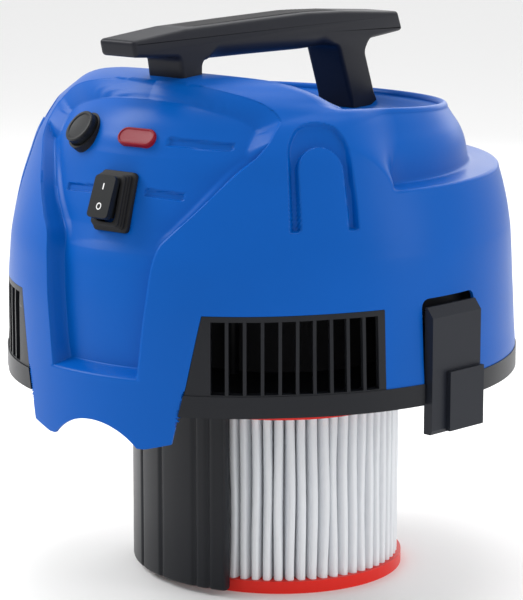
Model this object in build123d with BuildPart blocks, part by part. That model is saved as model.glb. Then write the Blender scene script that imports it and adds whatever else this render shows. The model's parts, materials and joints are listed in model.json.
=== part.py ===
from build123d import *
import math
import os

# Shop vacuum power head. Millimetres. The origin is the middle of the filter's
# bottom cap on the motor axis, +Z is up and the control panel faces -Y.

# ---- cover and base ring -------------------------------------------------
BODY_Y = -22.0            # middle of the round cover, ahead of the motor axis
RING_BOTTOM = 159.0
RING_TOP = 174.0
RING_R = 187.0
WALL = 4.0
GAP = 0.3                 # air between neighbouring mouldings
FAR = 300.0               # beyond the whole part, for cutting blocks
PAST = 1.0                # how far a cutter runs past the face it cuts
BITE = 0.1                # how far joined pieces run into each other
HOLE_CLEAR = 0.05
LIP_T = 2.4
LIP_GAP = 0.6
LIP_RISE = 2.0
COVER_SCREW_R = 1.58
COVER_SCREW_HOLE_R = 2.05
COVER_SCREW_TIP = 182.0
COVER_SCREW_AT = 168.0
COVER_SCREW_PHI = (12, 110, 150)
SCREW_HEAD_R = 4.0
SCREW_HEAD_T = 2.5
SCREW_SINK = 2.6          # counterbore depth, so that the heads stay off the tank rim
BOSS_R = 6.0
BOSS_BORE_R = 1.6
BOSS_TOP = 240.0
RIB_T = 3.0
RIB_LOW = 181.0
RIB_HIGH = 231.0
COVER_PROFILE = [
    (186.2, 174.0), (185.2, 190.0), (184.3, 208.0), (183.2, 226.0), (182.4, 244.0),
    (181.4, 262.0), (178.4, 280.0), (174.3, 297.0), (168.3, 315.0), (161.5, 333.0),
    (150.3, 350.0), (132.5, 364.0), (108.0, 373.0), (84.0, 377.0), (0.0, 379.0),
]
# The front is fuller than the sides: a second, smaller round shape set forward.
CREST_Y = -44.0
CREST_PROFILE = [
    (170.7, 174.0), (170.6, 200.0), (170.3, 226.0), (169.2, 244.0), (167.4, 262.0), (163.0, 280.0),
    (157.6, 297.0), (150.2, 315.0), (141.5, 333.0), (135.0, 345.0), (128.0, 357.0), (119.0, 367.0),
    (108.0, 373.5), (94.0, 377.0), (72.0, 378.6), (0.0, 379.5),
]
RING_FRONT_R = 171.5      # the base ring's front, about the same forward centre
CREST_BACK = -95.0        # y behind which only the round dome shapes the cover
LEDGE_Z = 307.0
LEDGE_START = 72.0        # degrees from the front where the rear ledge begins
COLLAR_PROFILE = [(150.0, 307.0), (147.2, 324.0), (143.5, 333.0), (138.2, 341.0), (130.0, 353.0)]
CUT_TOP = 430.0           # above everything, for the rim and bowl cutters
PRISM_NEAR_Y = -82.0      # y range of the shapes cut in from the front
PRISM_FAR_Y = -237.0
BOWL_FLOOR = 336.0
BOWL_FLOOR_R = 115.0
BOWL_RIM_R = 126.0
BOWL_FRONT_LOW = -18.0    # y where the bowl's front ramp meets its floor
BOWL_FRONT_HIGH = -98.0   # y where the ramp meets the dome
RIM_Z = 355.5
RIM_SLOPE = 0.07          # the rim falls towards the rear
RIM_MID_Y = -30.0         # y where the cut over the crest meets the rim's own slope
CREST_CUT_Z = 378.2
BOWL_LIP_Z = 362.0
RAMP_KNEE = (-80.0, 370.0)

# ---- front panel ---------------------------------------------------------
PANEL_DEPTH = 9.0
PANEL_OUTLINE = [
    (37.4, 182.5), (41.0, 215.0), (43.5, 235.0), (46.0, 258.0), (49.5, 273.0), (57.0, 282.5),
    (70.0, 298.0), (85.9, 320.0), (95.9, 332.7), (99.3, 342.0), (96.5, 354.0),
]
PANEL_TOP = 376.8
PANEL_TOP_DROP = 16.0     # how far the panel's top edge falls towards its corners
PANEL_TOP_STEPS = 4
PANEL_BACK_Y = -140.0     # y of the recess's back wall, under the crest
# The panel's floor follows the plain round shape, raised at its top only.
FLOOR_PROFILE = [
    (141.0, 322.0), (139.5, 333.0), (135.0, 345.0), (128.0, 357.0), (119.0, 367.0),
    (108.0, 373.5), (94.0, 377.0), (72.0, 378.6), (0.0, 379.5),
]
SLOT_DEPTH = 1.0
PANEL_SLOTS = [(-41.5, 305.0, 33.0, 5.2), (38.0, 306.5, 33.0, 5.2), (54.0, 338.0, 45.0, 5.6)]
TONGUE_EDGE = [(61.5, 139.0), (66.5, 161.0), (71.0, 180.0), (80.5, 229.0)]
TONGUE_BOTTOM = 134.0
TONGUE_CORNER = 43.0      # x where the slanted lower corner starts
ARCH_HALF = 37.0
ARCH_RISE = 16.0

# ---- side grooves and vents ----------------------------------------------
GROOVE_PHI = 51.4
GROOVE_DEPTH = 3.0
GROOVE_START = 100.0      # radius range swept by the groove cutter
GROOVE_REACH = 110.0
GROOVE_OUTER = 47.0
GROOVE_INNER = 36.0
GROOVE_BOTTOM = 285.5
GROOVE_OUTER_TOP = 356.0
GROOVE_INNER_TOP = 340.0
VENT_FROM = 20.0
VENT_TO = 64.5
VENT_TOP = 229.0
VENT_INNER_R = 160.0
VENT_SLOTS = 10
VENT_SLOT_FROM = 26.6
VENT_SLOT_TO = 63.2
VENT_SLOT_SHARE = 0.8
VENT_SLOT_BOTTOM = 175.0
VENT_SLOT_TOP = 225.0

# ---- latches -------------------------------------------------------------
LATCH_PHI = 82.5
LATCH_R = 190.0
LATCH_T = 7.5
LATCH_W = 50.0
LATCH_BOTTOM = 138.0
LATCH_TOP = 227.0
LATCH_BLOCK_TOP = 181.0
LATCH_BLOCK_T = 3.5
LATCH_BLOCK_FROM = -10.0
LATCH_PIVOT_R = 174.5
LATCH_PIVOT_Z = 219.0
LATCH_PIN_R = 1.8
LATCH_LUG_W = 9.0
LATCH_LUG_AT = 16.0
LATCH_LUG_R = 3.9
LATCH_EDGE = (1.5, 3.0)   # lower front chamfer, depth and height
LATCH_SLOPE = (5.5, 7.0)  # upper front chamfer
HOOK_HALF = 17.0
HOOK_REACH = 5.0
HOOK_STEPS = (1.0, 5.0, 9.0, 14.0)
LUG_FOOT = (-9.0, 4.0)
POCKET_HALF = 26.7
POCKET_DEEP = 167.7
POCKET_TOP = 233.0
POCKET_WALL = 2.5
POCKET_FACE = 178.6
POCKET_MOUTH = 205.0
COVER_CUT_HALF = 27.0
COVER_CUT_TOP = 232.5

# ---- handle --------------------------------------------------------------
HANDLE_HALF = 16.0
HANDLE_SIDE = [
    (-184.6, 408.3), (-125.5, 412.3), (-57.0, 412.6), (14.7, 412.6), (60.4, 410.1), (128.3, 404.3),
    (135.1, 389.0), (91.8, 386.2), (85.7, 377.6), (102.0, 336.0), (70.5, 336.0), (51.4, 385.2),
    (12.2, 385.0), (-50.9, 386.9), (-109.5, 388.3), (-112.0, 369.0), (-130.0, 369.0),
    (-133.5, 392.0), (-181.4, 396.5),
]
INLAY_HALF = 10.0
INLAY_T = 2.0
FRONT_FOOT_Y = -121.0
FRONT_FOOT_Z = 369.0
FRONT_FOOT_BOSS = (-133.0, -109.0)
FRONT_FOOT_BOSS_TOP = 375.5
REAR_FOOT_Y = 86.0
FOOT_SCREW_R = 2.5
FOOT_HEAD_R = 5.0
FOOT_HEAD_T = 3.0
FOOT_SCREW_UP = 16.0

# ---- filter, float and baffle ---------------------------------------------
CAP_R = 91.5
CAP_T = 9.0
CAP_HUB_R = 30.0
CAP_GROOVE = 3.0
TOP_RING_Z = 153.0
TOP_RING_IN = 60.0
PLEATS = 50
PLEAT_OUT = 88.0
PLEAT_IN = 72.0
PLEAT_SHIFT = 4.0
CORE_WINDOWS = (24.0, 58.0, 92.0, 126.0)
CORE_WINDOWS_ROUND = 8
CORE_WINDOW = (16.0, 20.0)
CAP_GROOVE_IN = 2.0
CAGE_FLANGE_T = 3.0
CAGE_COLLAR = 12.0
CAGE_RIB_W = 4.0
CAGE_FLOOR_T = 3.0
CAGE_SCREW_HEAD_R = 3.0
CAGE_SCREW_HEAD_T = 2.0
FLOAT_WALL = 2.5
FLOAT_SKIRT = 1.5
FLOAT_SEAL_BAND = (2.0, 8.0)
FLOAT_SEAL_T = 2.5
CORE_OUT = 66.0
CORE_IN = 64.0
CAGE_FLANGE_R = 57.0
CAGE_OUT = 47.0
CAGE_IN = 43.5
CAGE_BOTTOM = 76.0
CAGE_RIBS = 10
FLOAT_R = 38.0
FLOAT_H = 40.0
FLOAT_Z = 80.5
INTAKE_R = 28.0
BAFFLE_OUT = 110.0
BAFFLE_IN = 99.0
BAFFLE_BOTTOM = 5.0
BAFFLE_FROM = -75.0
BAFFLE_TO = 16.0
FIN_R = 119.0
FIN_T = 3.0
FIN_FROM = 20.0
FIN_H = 130.0
FIN_BITE = 2.0
BAFFLE_SKIN = 3.0
BAFFLE_END_DEG = 2.0
BAFFLE_FLOOR_T = 2.5
GASKET_OUT = 161.5
GASKET_IN = 153.0
GASKET_GROOVE = 2.5
GASKET_PROUD = 1.0
PLATE_TOP = 163.0

# ---- motor ----------------------------------------------------------------
SHAFT_R = 4.0
SHAFT_BOTTOM = 172.5
SHAFT_TOP = 309.0
CASE_R = 76.0
CASE_T = 1.5
CASE_BOTTOM = 166.0
CASE_TOP = 206.0
IMPELLER_R = 68.0
IMPELLER_Z = 175.0
IMPELLER_H = 13.0
IMPELLER_VANES = 8
DIFFUSER_Z = 192.0
DIFFUSER_H = 10.0
BRACKET_Z = 206.0
BRACKET_H = 12.0
BEARING_R = 11.0
BEARING_H = 7.0
STATOR_OUT = 44.0
STATOR_IN = 25.0
STATOR_Z = 226.0
STATOR_H = 30.0
COIL_H = 7.0
ARMATURE_R = 24.5
COMMUTATOR_R = 12.0
COMMUTATOR_Z = 266.0
COMMUTATOR_H = 14.0
TOP_BRACKET_Z = 284.0
FAN_Z = 297.0
FAN_R = 38.0
FAN_H = 9.0
SHROUD_R = 84.0
SHROUD_TOP = 320.0
SHROUD_WALL = 2.5
POST_R = 5.0
POST_BORE_R = 1.5
POST_AT = 91.0
POST_TURNS = (45, 165, 285)
CAGE_TURNS = (30, 150, 270)
CAGE_SCREW_AT = 52.0
CAGE_SCREW_R = 1.5

# ---- controls --------------------------------------------------------------
SEAT_WALL = 3.0           # material kept round each control's opening
SWITCH_BOSS = (-7.0, -3.2)
BUTTON_BOSS = (-9.0, -2.6)
BADGE_BOSS = (-4.5, -2.6)
SWITCH_INSET = 4.0
BOOT_FLANGE = 1.8
BOOT_CORNER = 4.0
CUT_REACH = 30.0
SWITCH_R = 165.3
SWITCH_Z = 298.0
SWITCH_TILT = 16.0
BOOT_W = 27.0
BOOT_H = 38.5
BOOT_SEAT = -2.5
BOOT_TOP = 8.0
BOOT_RIBS = 3
BOOT_GROOVE = 1.6
BOOT_OPEN_W = 16.6
BOOT_OPEN_H = 30.0
ROCKER_W = 18.0
ROCKER_H = 30.0
ROCKER_UNDER = 10.2
ROCKER_T = 5.0
ROCKER_TILT = -6.0
ROCKER_SKIRT_W = 14.0
ROCKER_SKIRT_H = 25.0
ROCKER_PIVOT = 4.0
ROCKER_PIN_R = 1.5
BUTTON_PHI = -17.8
BUTTON_R = 148.6
BUTTON_Z = 339.0
BUTTON_TILT = 38.0
BUTTON_CAP_R = 12.6
BUTTON_CAP_LOW = 1.5
BUTTON_CAP_HIGH = 8.5
GUIDE_OUT = 14.6
GUIDE_IN = 13.0
GUIDE_TOP = 2.5
GUIDE_FLOOR = -6.0
GUIDE_END = -40.0
STEM_R = 3.0
VALVE_R = 10.5
VALVE_T = 2.5
SPRING_R = 7.0
SPRING_WIRE = 0.7
BADGE_PHI = 2.6
BADGE_R = 147.6
BADGE_Z = 339.5
BADGE_W = 31.0
BADGE_H = 13.4
BADGE_SEAT = -1.2
BADGE_TOP = 2.0

# ---- cord inlet and terminals ----------------------------------------------
GLAND_Z = 200.0
GLAND_R = 9.0
GLAND_BORE = 4.2
GLAND_OUT = 8.0

SOLIDS = {}


def outward_plane(phi, radius, height, tilt=0.0):
    """Plane on the round body: x runs round it, y up, z outwards."""
    around = math.radians(phi)
    lift = math.radians(tilt)
    origin = (radius * math.sin(around), BODY_Y - radius * math.cos(around), height)
    normal = (math.sin(around) * math.cos(lift), -math.cos(around) * math.cos(lift), math.sin(lift))
    return Plane(origin=origin, x_dir=(math.cos(around), math.sin(around), 0), z_dir=normal)


def inset(points, depth):
    """Moves a profile inwards by depth, square to its own slope."""
    moved = []
    for i, (r, z) in enumerate(points):
        r0, z0 = points[max(i - 1, 0)]
        r1, z1 = points[min(i + 1, len(points) - 1)]
        length = math.hypot(r1 - r0, z1 - z0)
        out_r, out_z = (z1 - z0) / length, -(r1 - r0) / length
        if i == 0:
            out_r, out_z = 1.0, 0.0
        if i == len(points) - 1:
            out_r, out_z = 0.0, 1.0
        moved.append((r - depth * out_r, z - depth * out_z))
    return moved


def round_top(profile, depth, centre_y):
    points = inset(profile, depth)
    face_plane = Plane(origin=(0, centre_y, 0), x_dir=(1, 0, 0), z_dir=(0, -1, 0))
    with BuildPart() as body:
        with BuildSketch(face_plane):
            with BuildLine():
                Spline(*points)
                Polyline(points[-1], (0, points[0][1]), points[0])
            make_face()
        revolve(axis=Axis((0, centre_y, 0), (0, 0, 1)))
    return body.part


def dome(depth, crest_profile=CREST_PROFILE):
    """The cover's full shape, without ledge or bowl, inset by depth."""
    crest = round_top(crest_profile, depth, CREST_Y)
    crest = crest - block(-FAR, FAR, CREST_BACK, FAR, 0, 2 * FAR)
    return round_top(COVER_PROFILE, depth, BODY_Y) + crest


def ring_outline(depth, low, high):
    """The base ring's outline, inset by depth and raised from low to high."""
    front = disc(RING_FRONT_R - depth, low, high, 0, CREST_Y)
    front = front - block(-FAR, FAR, CREST_BACK, FAR, 0, 2 * FAR)
    return disc(RING_R - depth, low, high, 0, BODY_Y) + front


def turned(points, centre_y=0.0, start=0.0, sweep=360.0):
    """Turns an (r, z) outline about a vertical axis, from `start` degrees off the front."""
    around = math.radians(start)
    plane = Plane(
        origin=(0, centre_y, 0),
        x_dir=(math.sin(around), -math.cos(around), 0),
        z_dir=(-math.cos(around), -math.sin(around), 0),
    )
    with BuildPart() as body:
        with BuildSketch(plane):
            with BuildLine():
                Polyline(*points, close=True)
            make_face()
        revolve(axis=Axis((0, centre_y, 0), (0, 0, 1)), revolution_arc=sweep)
    return body.part


def tube(r_out, r_in, low, high, centre_y=0.0, start=0.0, sweep=360.0):
    return turned([(r_in, low), (r_out, low), (r_out, high), (r_in, high)], centre_y, start, sweep)


def disc(radius, low, high, x=0.0, y=0.0):
    with BuildPart() as body:
        with BuildSketch(Plane.XY.offset(low)):
            with Locations((x, y)):
                Circle(radius)
        extrude(amount=high - low)
    return body.part


def block(x0, x1, y0, y1, z0, z1):
    with BuildPart() as body:
        with Locations(((x0 + x1) / 2, (y0 + y1) / 2, (z0 + z1) / 2)):
            Box(x1 - x0, y1 - y0, z1 - z0)
    return body.part


def front_prism(points, near=PRISM_NEAR_Y, far=PRISM_FAR_Y):
    """Extrudes an (x, z) outline from y = near to y = far."""
    plane = Plane(origin=(0, near, 0), x_dir=(1, 0, 0), z_dir=(0, -1, 0))
    with BuildPart() as body:
        with BuildSketch(plane):
            with BuildLine():
                Polyline(*points, close=True)
            make_face()
        extrude(amount=near - far)
    return body.part


def side_prism(points, half):
    """Extrudes a (y, z) outline from x = -half to x = half."""
    with BuildPart() as body:
        with BuildSketch(Plane.YZ):
            with BuildLine():
                Polyline(*points, close=True)
            make_face()
        extrude(amount=half, both=True)
    return body.part


def plate_on(plane, width, height, low, high, radius=0.0, shift=(0.0, 0.0)):
    """A block standing on a local plane, from low to high along its normal."""
    with BuildPart() as body:
        with BuildSketch(plane.offset(low)):
            with Locations(shift):
                if radius:
                    RectangleRounded(width, height, radius)
                else:
                    Rectangle(width, height)
        extrude(amount=high - low)
    return body.part


def rod_on(plane, radius, low, high, shift=(0.0, 0.0)):
    with BuildPart() as body:
        with BuildSketch(plane.offset(low)):
            with Locations(shift):
                Circle(radius)
        extrude(amount=high - low)
    return body.part


def both_sides(piece):
    return [piece, piece.mirror(Plane.YZ)]


def keep(name, body):
    body.part.label = name
    SOLIDS[name] = body


# ---- shared cutting shapes --------------------------------------------------
def panel_prism(grow):
    right = [(x + grow, z + (0 if i else -grow)) for i, (x, z) in enumerate(PANEL_OUTLINE)]
    left = [(-x, z) for x, z in reversed(right)]
    top = []
    for step in range(PANEL_TOP_STEPS - 1, -PANEL_TOP_STEPS, -1):
        share = step / PANEL_TOP_STEPS
        top.append((right[-1][0] * share, PANEL_TOP + grow - PANEL_TOP_DROP * share ** 2))
    return front_prism(right + top + left, near=PANEL_BACK_Y + grow)


def tongue_prism(grow):
    edge = [(x + grow, z) for x, z in TONGUE_EDGE]
    right = [(TONGUE_CORNER, TONGUE_BOTTOM - grow)] + edge + [(edge[-1][0], VENT_TOP + 1)]
    return front_prism(right + [(-x, z) for x, z in reversed(right)])


def ledge_tool(grow):
    inner = [(r - grow, z) for r, z in COLLAR_PROFILE]
    inner[0] = (inner[0][0], LEDGE_Z - grow)
    outline = inner + [(inner[-1][0], CUT_TOP), (FAR, CUT_TOP), (FAR, LEDGE_Z - grow)]
    return turned(outline, BODY_Y, LEDGE_START, 360 - 2 * LEDGE_START)


def rim_tool(grow):
    """All that is above the sloping rim, behind the dome."""
    def rim(y):
        return RIM_Z - RIM_SLOPE * (y - BODY_Y) - grow
    return side_prism([(BOWL_FRONT_HIGH, CREST_CUT_Z - grow), (RIM_MID_Y, rim(RIM_MID_Y)), (FAR, rim(FAR)),
                       (FAR, CUT_TOP), (BOWL_FRONT_HIGH, CUT_TOP)], FAR)


def bowl_tool(grow):
    outline = [(0, BOWL_FLOOR - grow), (BOWL_FLOOR_R + grow, BOWL_FLOOR - grow),
               (BOWL_RIM_R + grow, BOWL_LIP_Z), (BOWL_RIM_R + grow, CUT_TOP), (0, CUT_TOP)]
    knee_y, knee_z = RAMP_KNEE
    ramp = side_prism([(BOWL_FRONT_LOW - grow, BOWL_FLOOR - grow - PAST), (FAR, BOWL_FLOOR - grow - PAST),
                       (FAR, CUT_TOP), (knee_y, CUT_TOP), (knee_y, knee_z - grow)], FAR)
    return turned(outline, BODY_Y) & ramp


def vent_zone(gap):
    zone = tube(FAR, VENT_INNER_R, RING_BOTTOM, VENT_TOP - gap, BODY_Y, VENT_FROM, VENT_TO - VENT_FROM)
    return zone - tongue_prism(gap)


def latch_box(half, deep, low, high):
    plane = outward_plane(LATCH_PHI, 0, 0)
    return plate_on(plane, 2 * half, high - low, deep, POCKET_MOUTH, shift=(0, (high + low) / 2))


def groove_prism():
    plane = outward_plane(GROOVE_PHI, GROOVE_START, 0)
    with BuildPart() as body:
        with BuildSketch(plane):
            for width, top, mode in ((GROOVE_OUTER, GROOVE_OUTER_TOP, Mode.ADD),
                                     (GROOVE_INNER, GROOVE_INNER_TOP, Mode.SUBTRACT)):
                side = width / 2
                high = top - side
                with Locations((0, (GROOVE_BOTTOM + high) / 2)):
                    Rectangle(width, high - GROOVE_BOTTOM, mode=mode)
                with Locations((0, high)):
                    Circle(side, mode=mode)
        extrude(amount=GROOVE_REACH)
    return body.part


def make_top_cover():
    inner_solid = dome(WALL) - ledge_tool(WALL) - rim_tool(WALL) - bowl_tool(WALL)
    inner_solid = inner_solid - (panel_prism(WALL) - dome(PANEL_DEPTH + WALL, FLOOR_PROFILE))
    recess = panel_prism(0) - dome(PANEL_DEPTH, FLOOR_PROFILE)
    floor = dome(PANEL_DEPTH + SLOT_DEPTH, FLOOR_PROFILE)
    grooves = both_sides(groove_prism() - dome(GROOVE_DEPTH))
    slots = []
    for x, z, width, height in PANEL_SLOTS:
        outline = [(x - width / 2, z - height / 2), (x + width / 2, z - height / 2),
                   (x + width / 2, z + height / 2), (x - width / 2, z + height / 2)]
        slots.append(front_prism(outline) - floor)
    tongue_r = CREST_PROFILE[0][0]
    tongue = tube(tongue_r, tongue_r - WALL, TONGUE_BOTTOM, RING_TOP, CREST_Y)
    arch_r = (ARCH_HALF ** 2 + ARCH_RISE ** 2) / (2 * ARCH_RISE)
    arch = Cylinder(arch_r, FAR, rotation=(90, 0, 0))
    arch = Pos(0, -FAR / 2, TONGUE_BOTTOM + ARCH_RISE - arch_r) * arch
    tongue = (tongue & tongue_prism(0)) - arch
    openings = both_sides(vent_zone(0)) + both_sides(
        latch_box(COVER_CUT_HALF, VENT_INNER_R, RING_BOTTOM, COVER_CUT_TOP))
    switch = outward_plane(0, SWITCH_R, SWITCH_Z, SWITCH_TILT)
    button = outward_plane(BUTTON_PHI, BUTTON_R, BUTTON_Z, BUTTON_TILT)
    badge = outward_plane(BADGE_PHI, BADGE_R, BADGE_Z, BUTTON_TILT)
    foot_front, foot_rear = FRONT_FOOT_BOSS
    bosses = [
        plate_on(switch, BOOT_W + 2 * SEAT_WALL, BOOT_H + 2 * SEAT_WALL, *SWITCH_BOSS),
        rod_on(button, GUIDE_OUT + SEAT_WALL, *BUTTON_BOSS),
        plate_on(badge, BADGE_W + SEAT_WALL, BADGE_H + SEAT_WALL, *BADGE_BOSS),
        block(-HANDLE_HALF - SEAT_WALL, HANDLE_HALF + SEAT_WALL, foot_front, foot_rear,
              FRONT_FOOT_Z - WALL, FRONT_FOOT_BOSS_TOP),
    ]
    bosses += [tube_at(x, y, BOSS_R, BOSS_BORE_R, PLATE_TOP, BOSS_TOP) for x, y in cover_screw_places()]
    bosses += [rib_at(x, y) for x, y in cover_screw_places()]
    seats = [
        plate_on(switch, BOOT_W + 2 * BOOT_FLANGE + GAP, BOOT_H + 2 * BOOT_FLANGE + GAP, BOOT_SEAT, CUT_REACH,
                 radius=BOOT_CORNER),
        plate_on(switch, BOOT_W - SWITCH_INSET, BOOT_H - SWITCH_INSET, -CUT_REACH, CUT_REACH),
        rod_on(button, GUIDE_OUT, -2 * CUT_REACH, CUT_REACH),
        plate_on(badge, BADGE_W, BADGE_H, BADGE_SEAT, CUT_REACH, radius=BADGE_H / 2 - BITE),
    ]
    screw_holes = [disc(FOOT_SCREW_R + GAP, BOWL_FLOOR - 4 * WALL, FRONT_FOOT_Z, 0, FRONT_FOOT_Y),
                   disc(FOOT_SCREW_R + GAP, BOWL_FLOOR - 4 * WALL, BOWL_FLOOR, 0, REAR_FOOT_Y)]
    gland_hole = rod_on(outward_plane(180, 150, GLAND_Z), GLAND_R, 0, 2 * CUT_REACH)
    handle_feet = side_prism(HANDLE_SIDE, HANDLE_HALF)
    with BuildPart() as top_cover:
        add(dome(0))
        add(ledge_tool(0), mode=Mode.SUBTRACT)
        add(rim_tool(0), mode=Mode.SUBTRACT)
        add(bowl_tool(0), mode=Mode.SUBTRACT)
        add(inner_solid, mode=Mode.SUBTRACT)
        add(tongue)
        for piece in bosses:
            add(piece)
        for piece in [recess] + grooves + slots + openings + seats + screw_holes:
            add(piece, mode=Mode.SUBTRACT)
        add(gland_hole, mode=Mode.SUBTRACT)
        add(handle_feet, mode=Mode.SUBTRACT)
    keep("top_cover", top_cover)


def tube_at(x, y, r_out, r_in, low, high):
    return disc(r_out, low, high, x, y) - disc(r_in, low, high, x, y)


def rib_at(x, y):
    """Web that ties a screw boss to the cover's wall."""
    reach = math.hypot(x, y - BODY_Y)
    plane = outward_plane(math.degrees(math.atan2(x, BODY_Y - y)), 0, 0)
    middle = (RIB_LOW + RIB_HIGH) / 2
    return plate_on(plane, RIB_T, RIB_HIGH - RIB_LOW, reach + BOSS_R - PAST, RIB_LOW, shift=(0, middle))


def cover_screw_places():
    places = []
    for phi in COVER_SCREW_PHI:
        around = math.radians(phi)
        for side in (1, -1):
            places.append((side * COVER_SCREW_AT * math.sin(around), BODY_Y - COVER_SCREW_AT * math.cos(around)))
    return places


# ---- base housing -------------------------------------------------------------
def make_base_housing():
    band = ring_outline(0, RING_BOTTOM, RING_TOP) - ring_outline(WALL, RING_BOTTOM, RING_TOP)
    plate = ring_outline(0, RING_BOTTOM, PLATE_TOP)
    lip_r = COVER_PROFILE[0][0] - WALL - GAP
    lip = tube(lip_r - LIP_GAP, lip_r - LIP_GAP - LIP_T, PLATE_TOP, RING_TOP + LIP_RISE, BODY_Y)
    lip = lip - tongue_prism(LIP_RISE)
    tongue_gap = tube(FAR, lip_r, 0, RING_TOP + PAST, BODY_Y) & tongue_prism(GAP)
    tongue_gap = tongue_gap - disc(CREST_PROFILE[0][0] - WALL - GAP, 0, FAR, 0, CREST_Y)
    grilles = both_sides((dome(0) - dome(WALL)) & vent_zone(GAP))
    slots = []
    pitch = (VENT_SLOT_TO - VENT_SLOT_FROM) / VENT_SLOTS
    for i in range(VENT_SLOTS):
        start = VENT_SLOT_FROM + pitch * (i + (1 - VENT_SLOT_SHARE) / 2)
        slot = tube(FAR, VENT_INNER_R, VENT_SLOT_BOTTOM, VENT_SLOT_TOP, BODY_Y, start, pitch * VENT_SLOT_SHARE)
        slots += both_sides(slot)
    tub = latch_box(POCKET_HALF + POCKET_WALL, POCKET_DEEP, RING_BOTTOM, POCKET_TOP + POCKET_WALL)
    tubs = both_sides(tub & disc(POCKET_FACE, 0, FAR, 0, BODY_Y))
    hollows = both_sides(latch_box(POCKET_HALF, POCKET_DEEP + POCKET_WALL, 0, POCKET_TOP))
    pin_holes = []
    for side in (1, -1):
        pin_holes.append(latch_pin(side, LATCH_PIN_R, POCKET_HALF + POCKET_WALL + PAST))
    groove = tube(GASKET_OUT, GASKET_IN, RING_BOTTOM, RING_BOTTOM + GASKET_GROOVE, BODY_Y)
    posts = [tube_at(x, y, POST_R, POST_BORE_R, PLATE_TOP - BITE, CASE_TOP)
             for x, y in places_round(POST_AT, POST_TURNS)]
    under = RING_BOTTOM - PAST
    over = PLATE_TOP + PAST
    holes = [disc(INTAKE_R, under, over)]
    for x, y in cover_screw_places():
        holes.append(disc(COVER_SCREW_HOLE_R, under, over, x, y))
        holes.append(disc(SCREW_HEAD_R + GAP, under, RING_BOTTOM + SCREW_SINK, x, y))
    for x, y in places_round(CAGE_SCREW_AT, CAGE_TURNS):
        holes.append(disc(CAGE_SCREW_R + HOLE_CLEAR, under, over, x, y))
    with BuildPart() as base_housing:
        add(band)
        add(plate)
        add(lip)
        for piece in tubs + grilles + posts:
            add(piece)
        for piece in slots + hollows + pin_holes + holes + [groove, tongue_gap]:
            add(piece, mode=Mode.SUBTRACT)
    keep("base_housing", base_housing)


def latch_pin(side, radius, half):
    plane = outward_plane(LATCH_PHI, LATCH_PIVOT_R, LATCH_PIVOT_Z)
    across = Plane(origin=plane.origin, x_dir=(0, 0, 1), z_dir=plane.x_dir)
    with BuildPart() as body:
        with BuildSketch(across):
            Circle(radius)
        extrude(amount=half, both=True)
    return body.part if side > 0 else body.part.mirror(Plane.YZ)


def places_round(radius, turns):
    return [(radius * math.cos(math.radians(a)), radius * math.sin(math.radians(a))) for a in turns]


def make_gasket():
    with BuildPart() as tank_gasket:
        add(tube(GASKET_OUT, GASKET_IN, RING_BOTTOM - GASKET_PROUD, RING_BOTTOM + GASKET_GROOVE, BODY_Y))
    keep("tank_gasket", tank_gasket)


def make_cover_screws():
    with BuildPart() as cover_screws:
        for x, y in cover_screw_places():
            seat = RING_BOTTOM + SCREW_SINK
            add(disc(SCREW_HEAD_R, seat - SCREW_HEAD_T, seat, x, y))
            add(disc(COVER_SCREW_R, seat - BITE, COVER_SCREW_TIP, x, y))
    keep("cover_screws", cover_screws)


# ---- latches --------------------------------------------------------------------
def latch_shape():
    plane = outward_plane(LATCH_PHI, 0, 0)
    side = Plane(origin=(0, BODY_Y, 0), x_dir=plane.z_dir, z_dir=-plane.x_dir)
    back = LATCH_R - LATCH_T
    edge_in, edge_up = LATCH_EDGE
    slope_in, slope_down = LATCH_SLOPE
    outline = [(back, LATCH_BOTTOM), (LATCH_R - edge_in, LATCH_BOTTOM), (LATCH_R, LATCH_BOTTOM + edge_up),
               (LATCH_R, LATCH_TOP - slope_down), (LATCH_R - slope_in, LATCH_TOP), (back, LATCH_TOP)]
    hook_z = [LATCH_BOTTOM + step for step in HOOK_STEPS]
    hook = [(back + BITE, hook_z[0]), (back - HOOK_REACH, hook_z[1]), (back - HOOK_REACH, hook_z[2]),
            (back + BITE, hook_z[3])]
    foot_low, foot_high = LUG_FOOT
    lug = [(LATCH_PIVOT_R, LATCH_PIVOT_Z - LATCH_LUG_R), (back + BITE, LATCH_PIVOT_Z + foot_low),
           (back + BITE, LATCH_PIVOT_Z + foot_high), (LATCH_PIVOT_R, LATCH_PIVOT_Z + LATCH_LUG_R)]
    pieces = []
    for points, half, shift in ((outline, LATCH_W / 2, 0), (hook, HOOK_HALF, 0),
                                (lug, LATCH_LUG_W / 2, -LATCH_LUG_AT), (lug, LATCH_LUG_W / 2, LATCH_LUG_AT)):
        with BuildPart() as body:
            with BuildSketch(side.offset(shift)):
                with BuildLine():
                    Polyline(*points, close=True)
                make_face()
            extrude(amount=half, both=True)
        pieces.append(body.part)
    for shift in (-LATCH_LUG_AT, LATCH_LUG_AT):
        across = Plane(origin=outward_plane(LATCH_PHI, LATCH_PIVOT_R, LATCH_PIVOT_Z).origin,
                       x_dir=(0, 0, 1), z_dir=side.z_dir).offset(shift)
        with BuildPart() as barrel:
            with BuildSketch(across):
                Circle(LATCH_LUG_R)
            extrude(amount=LATCH_LUG_W / 2, both=True)
        pieces.append(barrel.part)
    wide = LATCH_W / 2 - LATCH_BLOCK_FROM
    middle = (LATCH_W / 2 + LATCH_BLOCK_FROM) / 2
    low = LATCH_BOTTOM + PAST
    raised = plate_on(plane, wide, LATCH_BLOCK_TOP - low, LATCH_R - GAP, LATCH_R + LATCH_BLOCK_T,
                      shift=(middle, (LATCH_BLOCK_TOP + low) / 2))
    shape = pieces[0]
    for piece in pieces[1:] + [raised]:
        shape = shape + piece
    return shape - latch_pin(1, LATCH_PIN_R + HOLE_CLEAR, LATCH_W)


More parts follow.
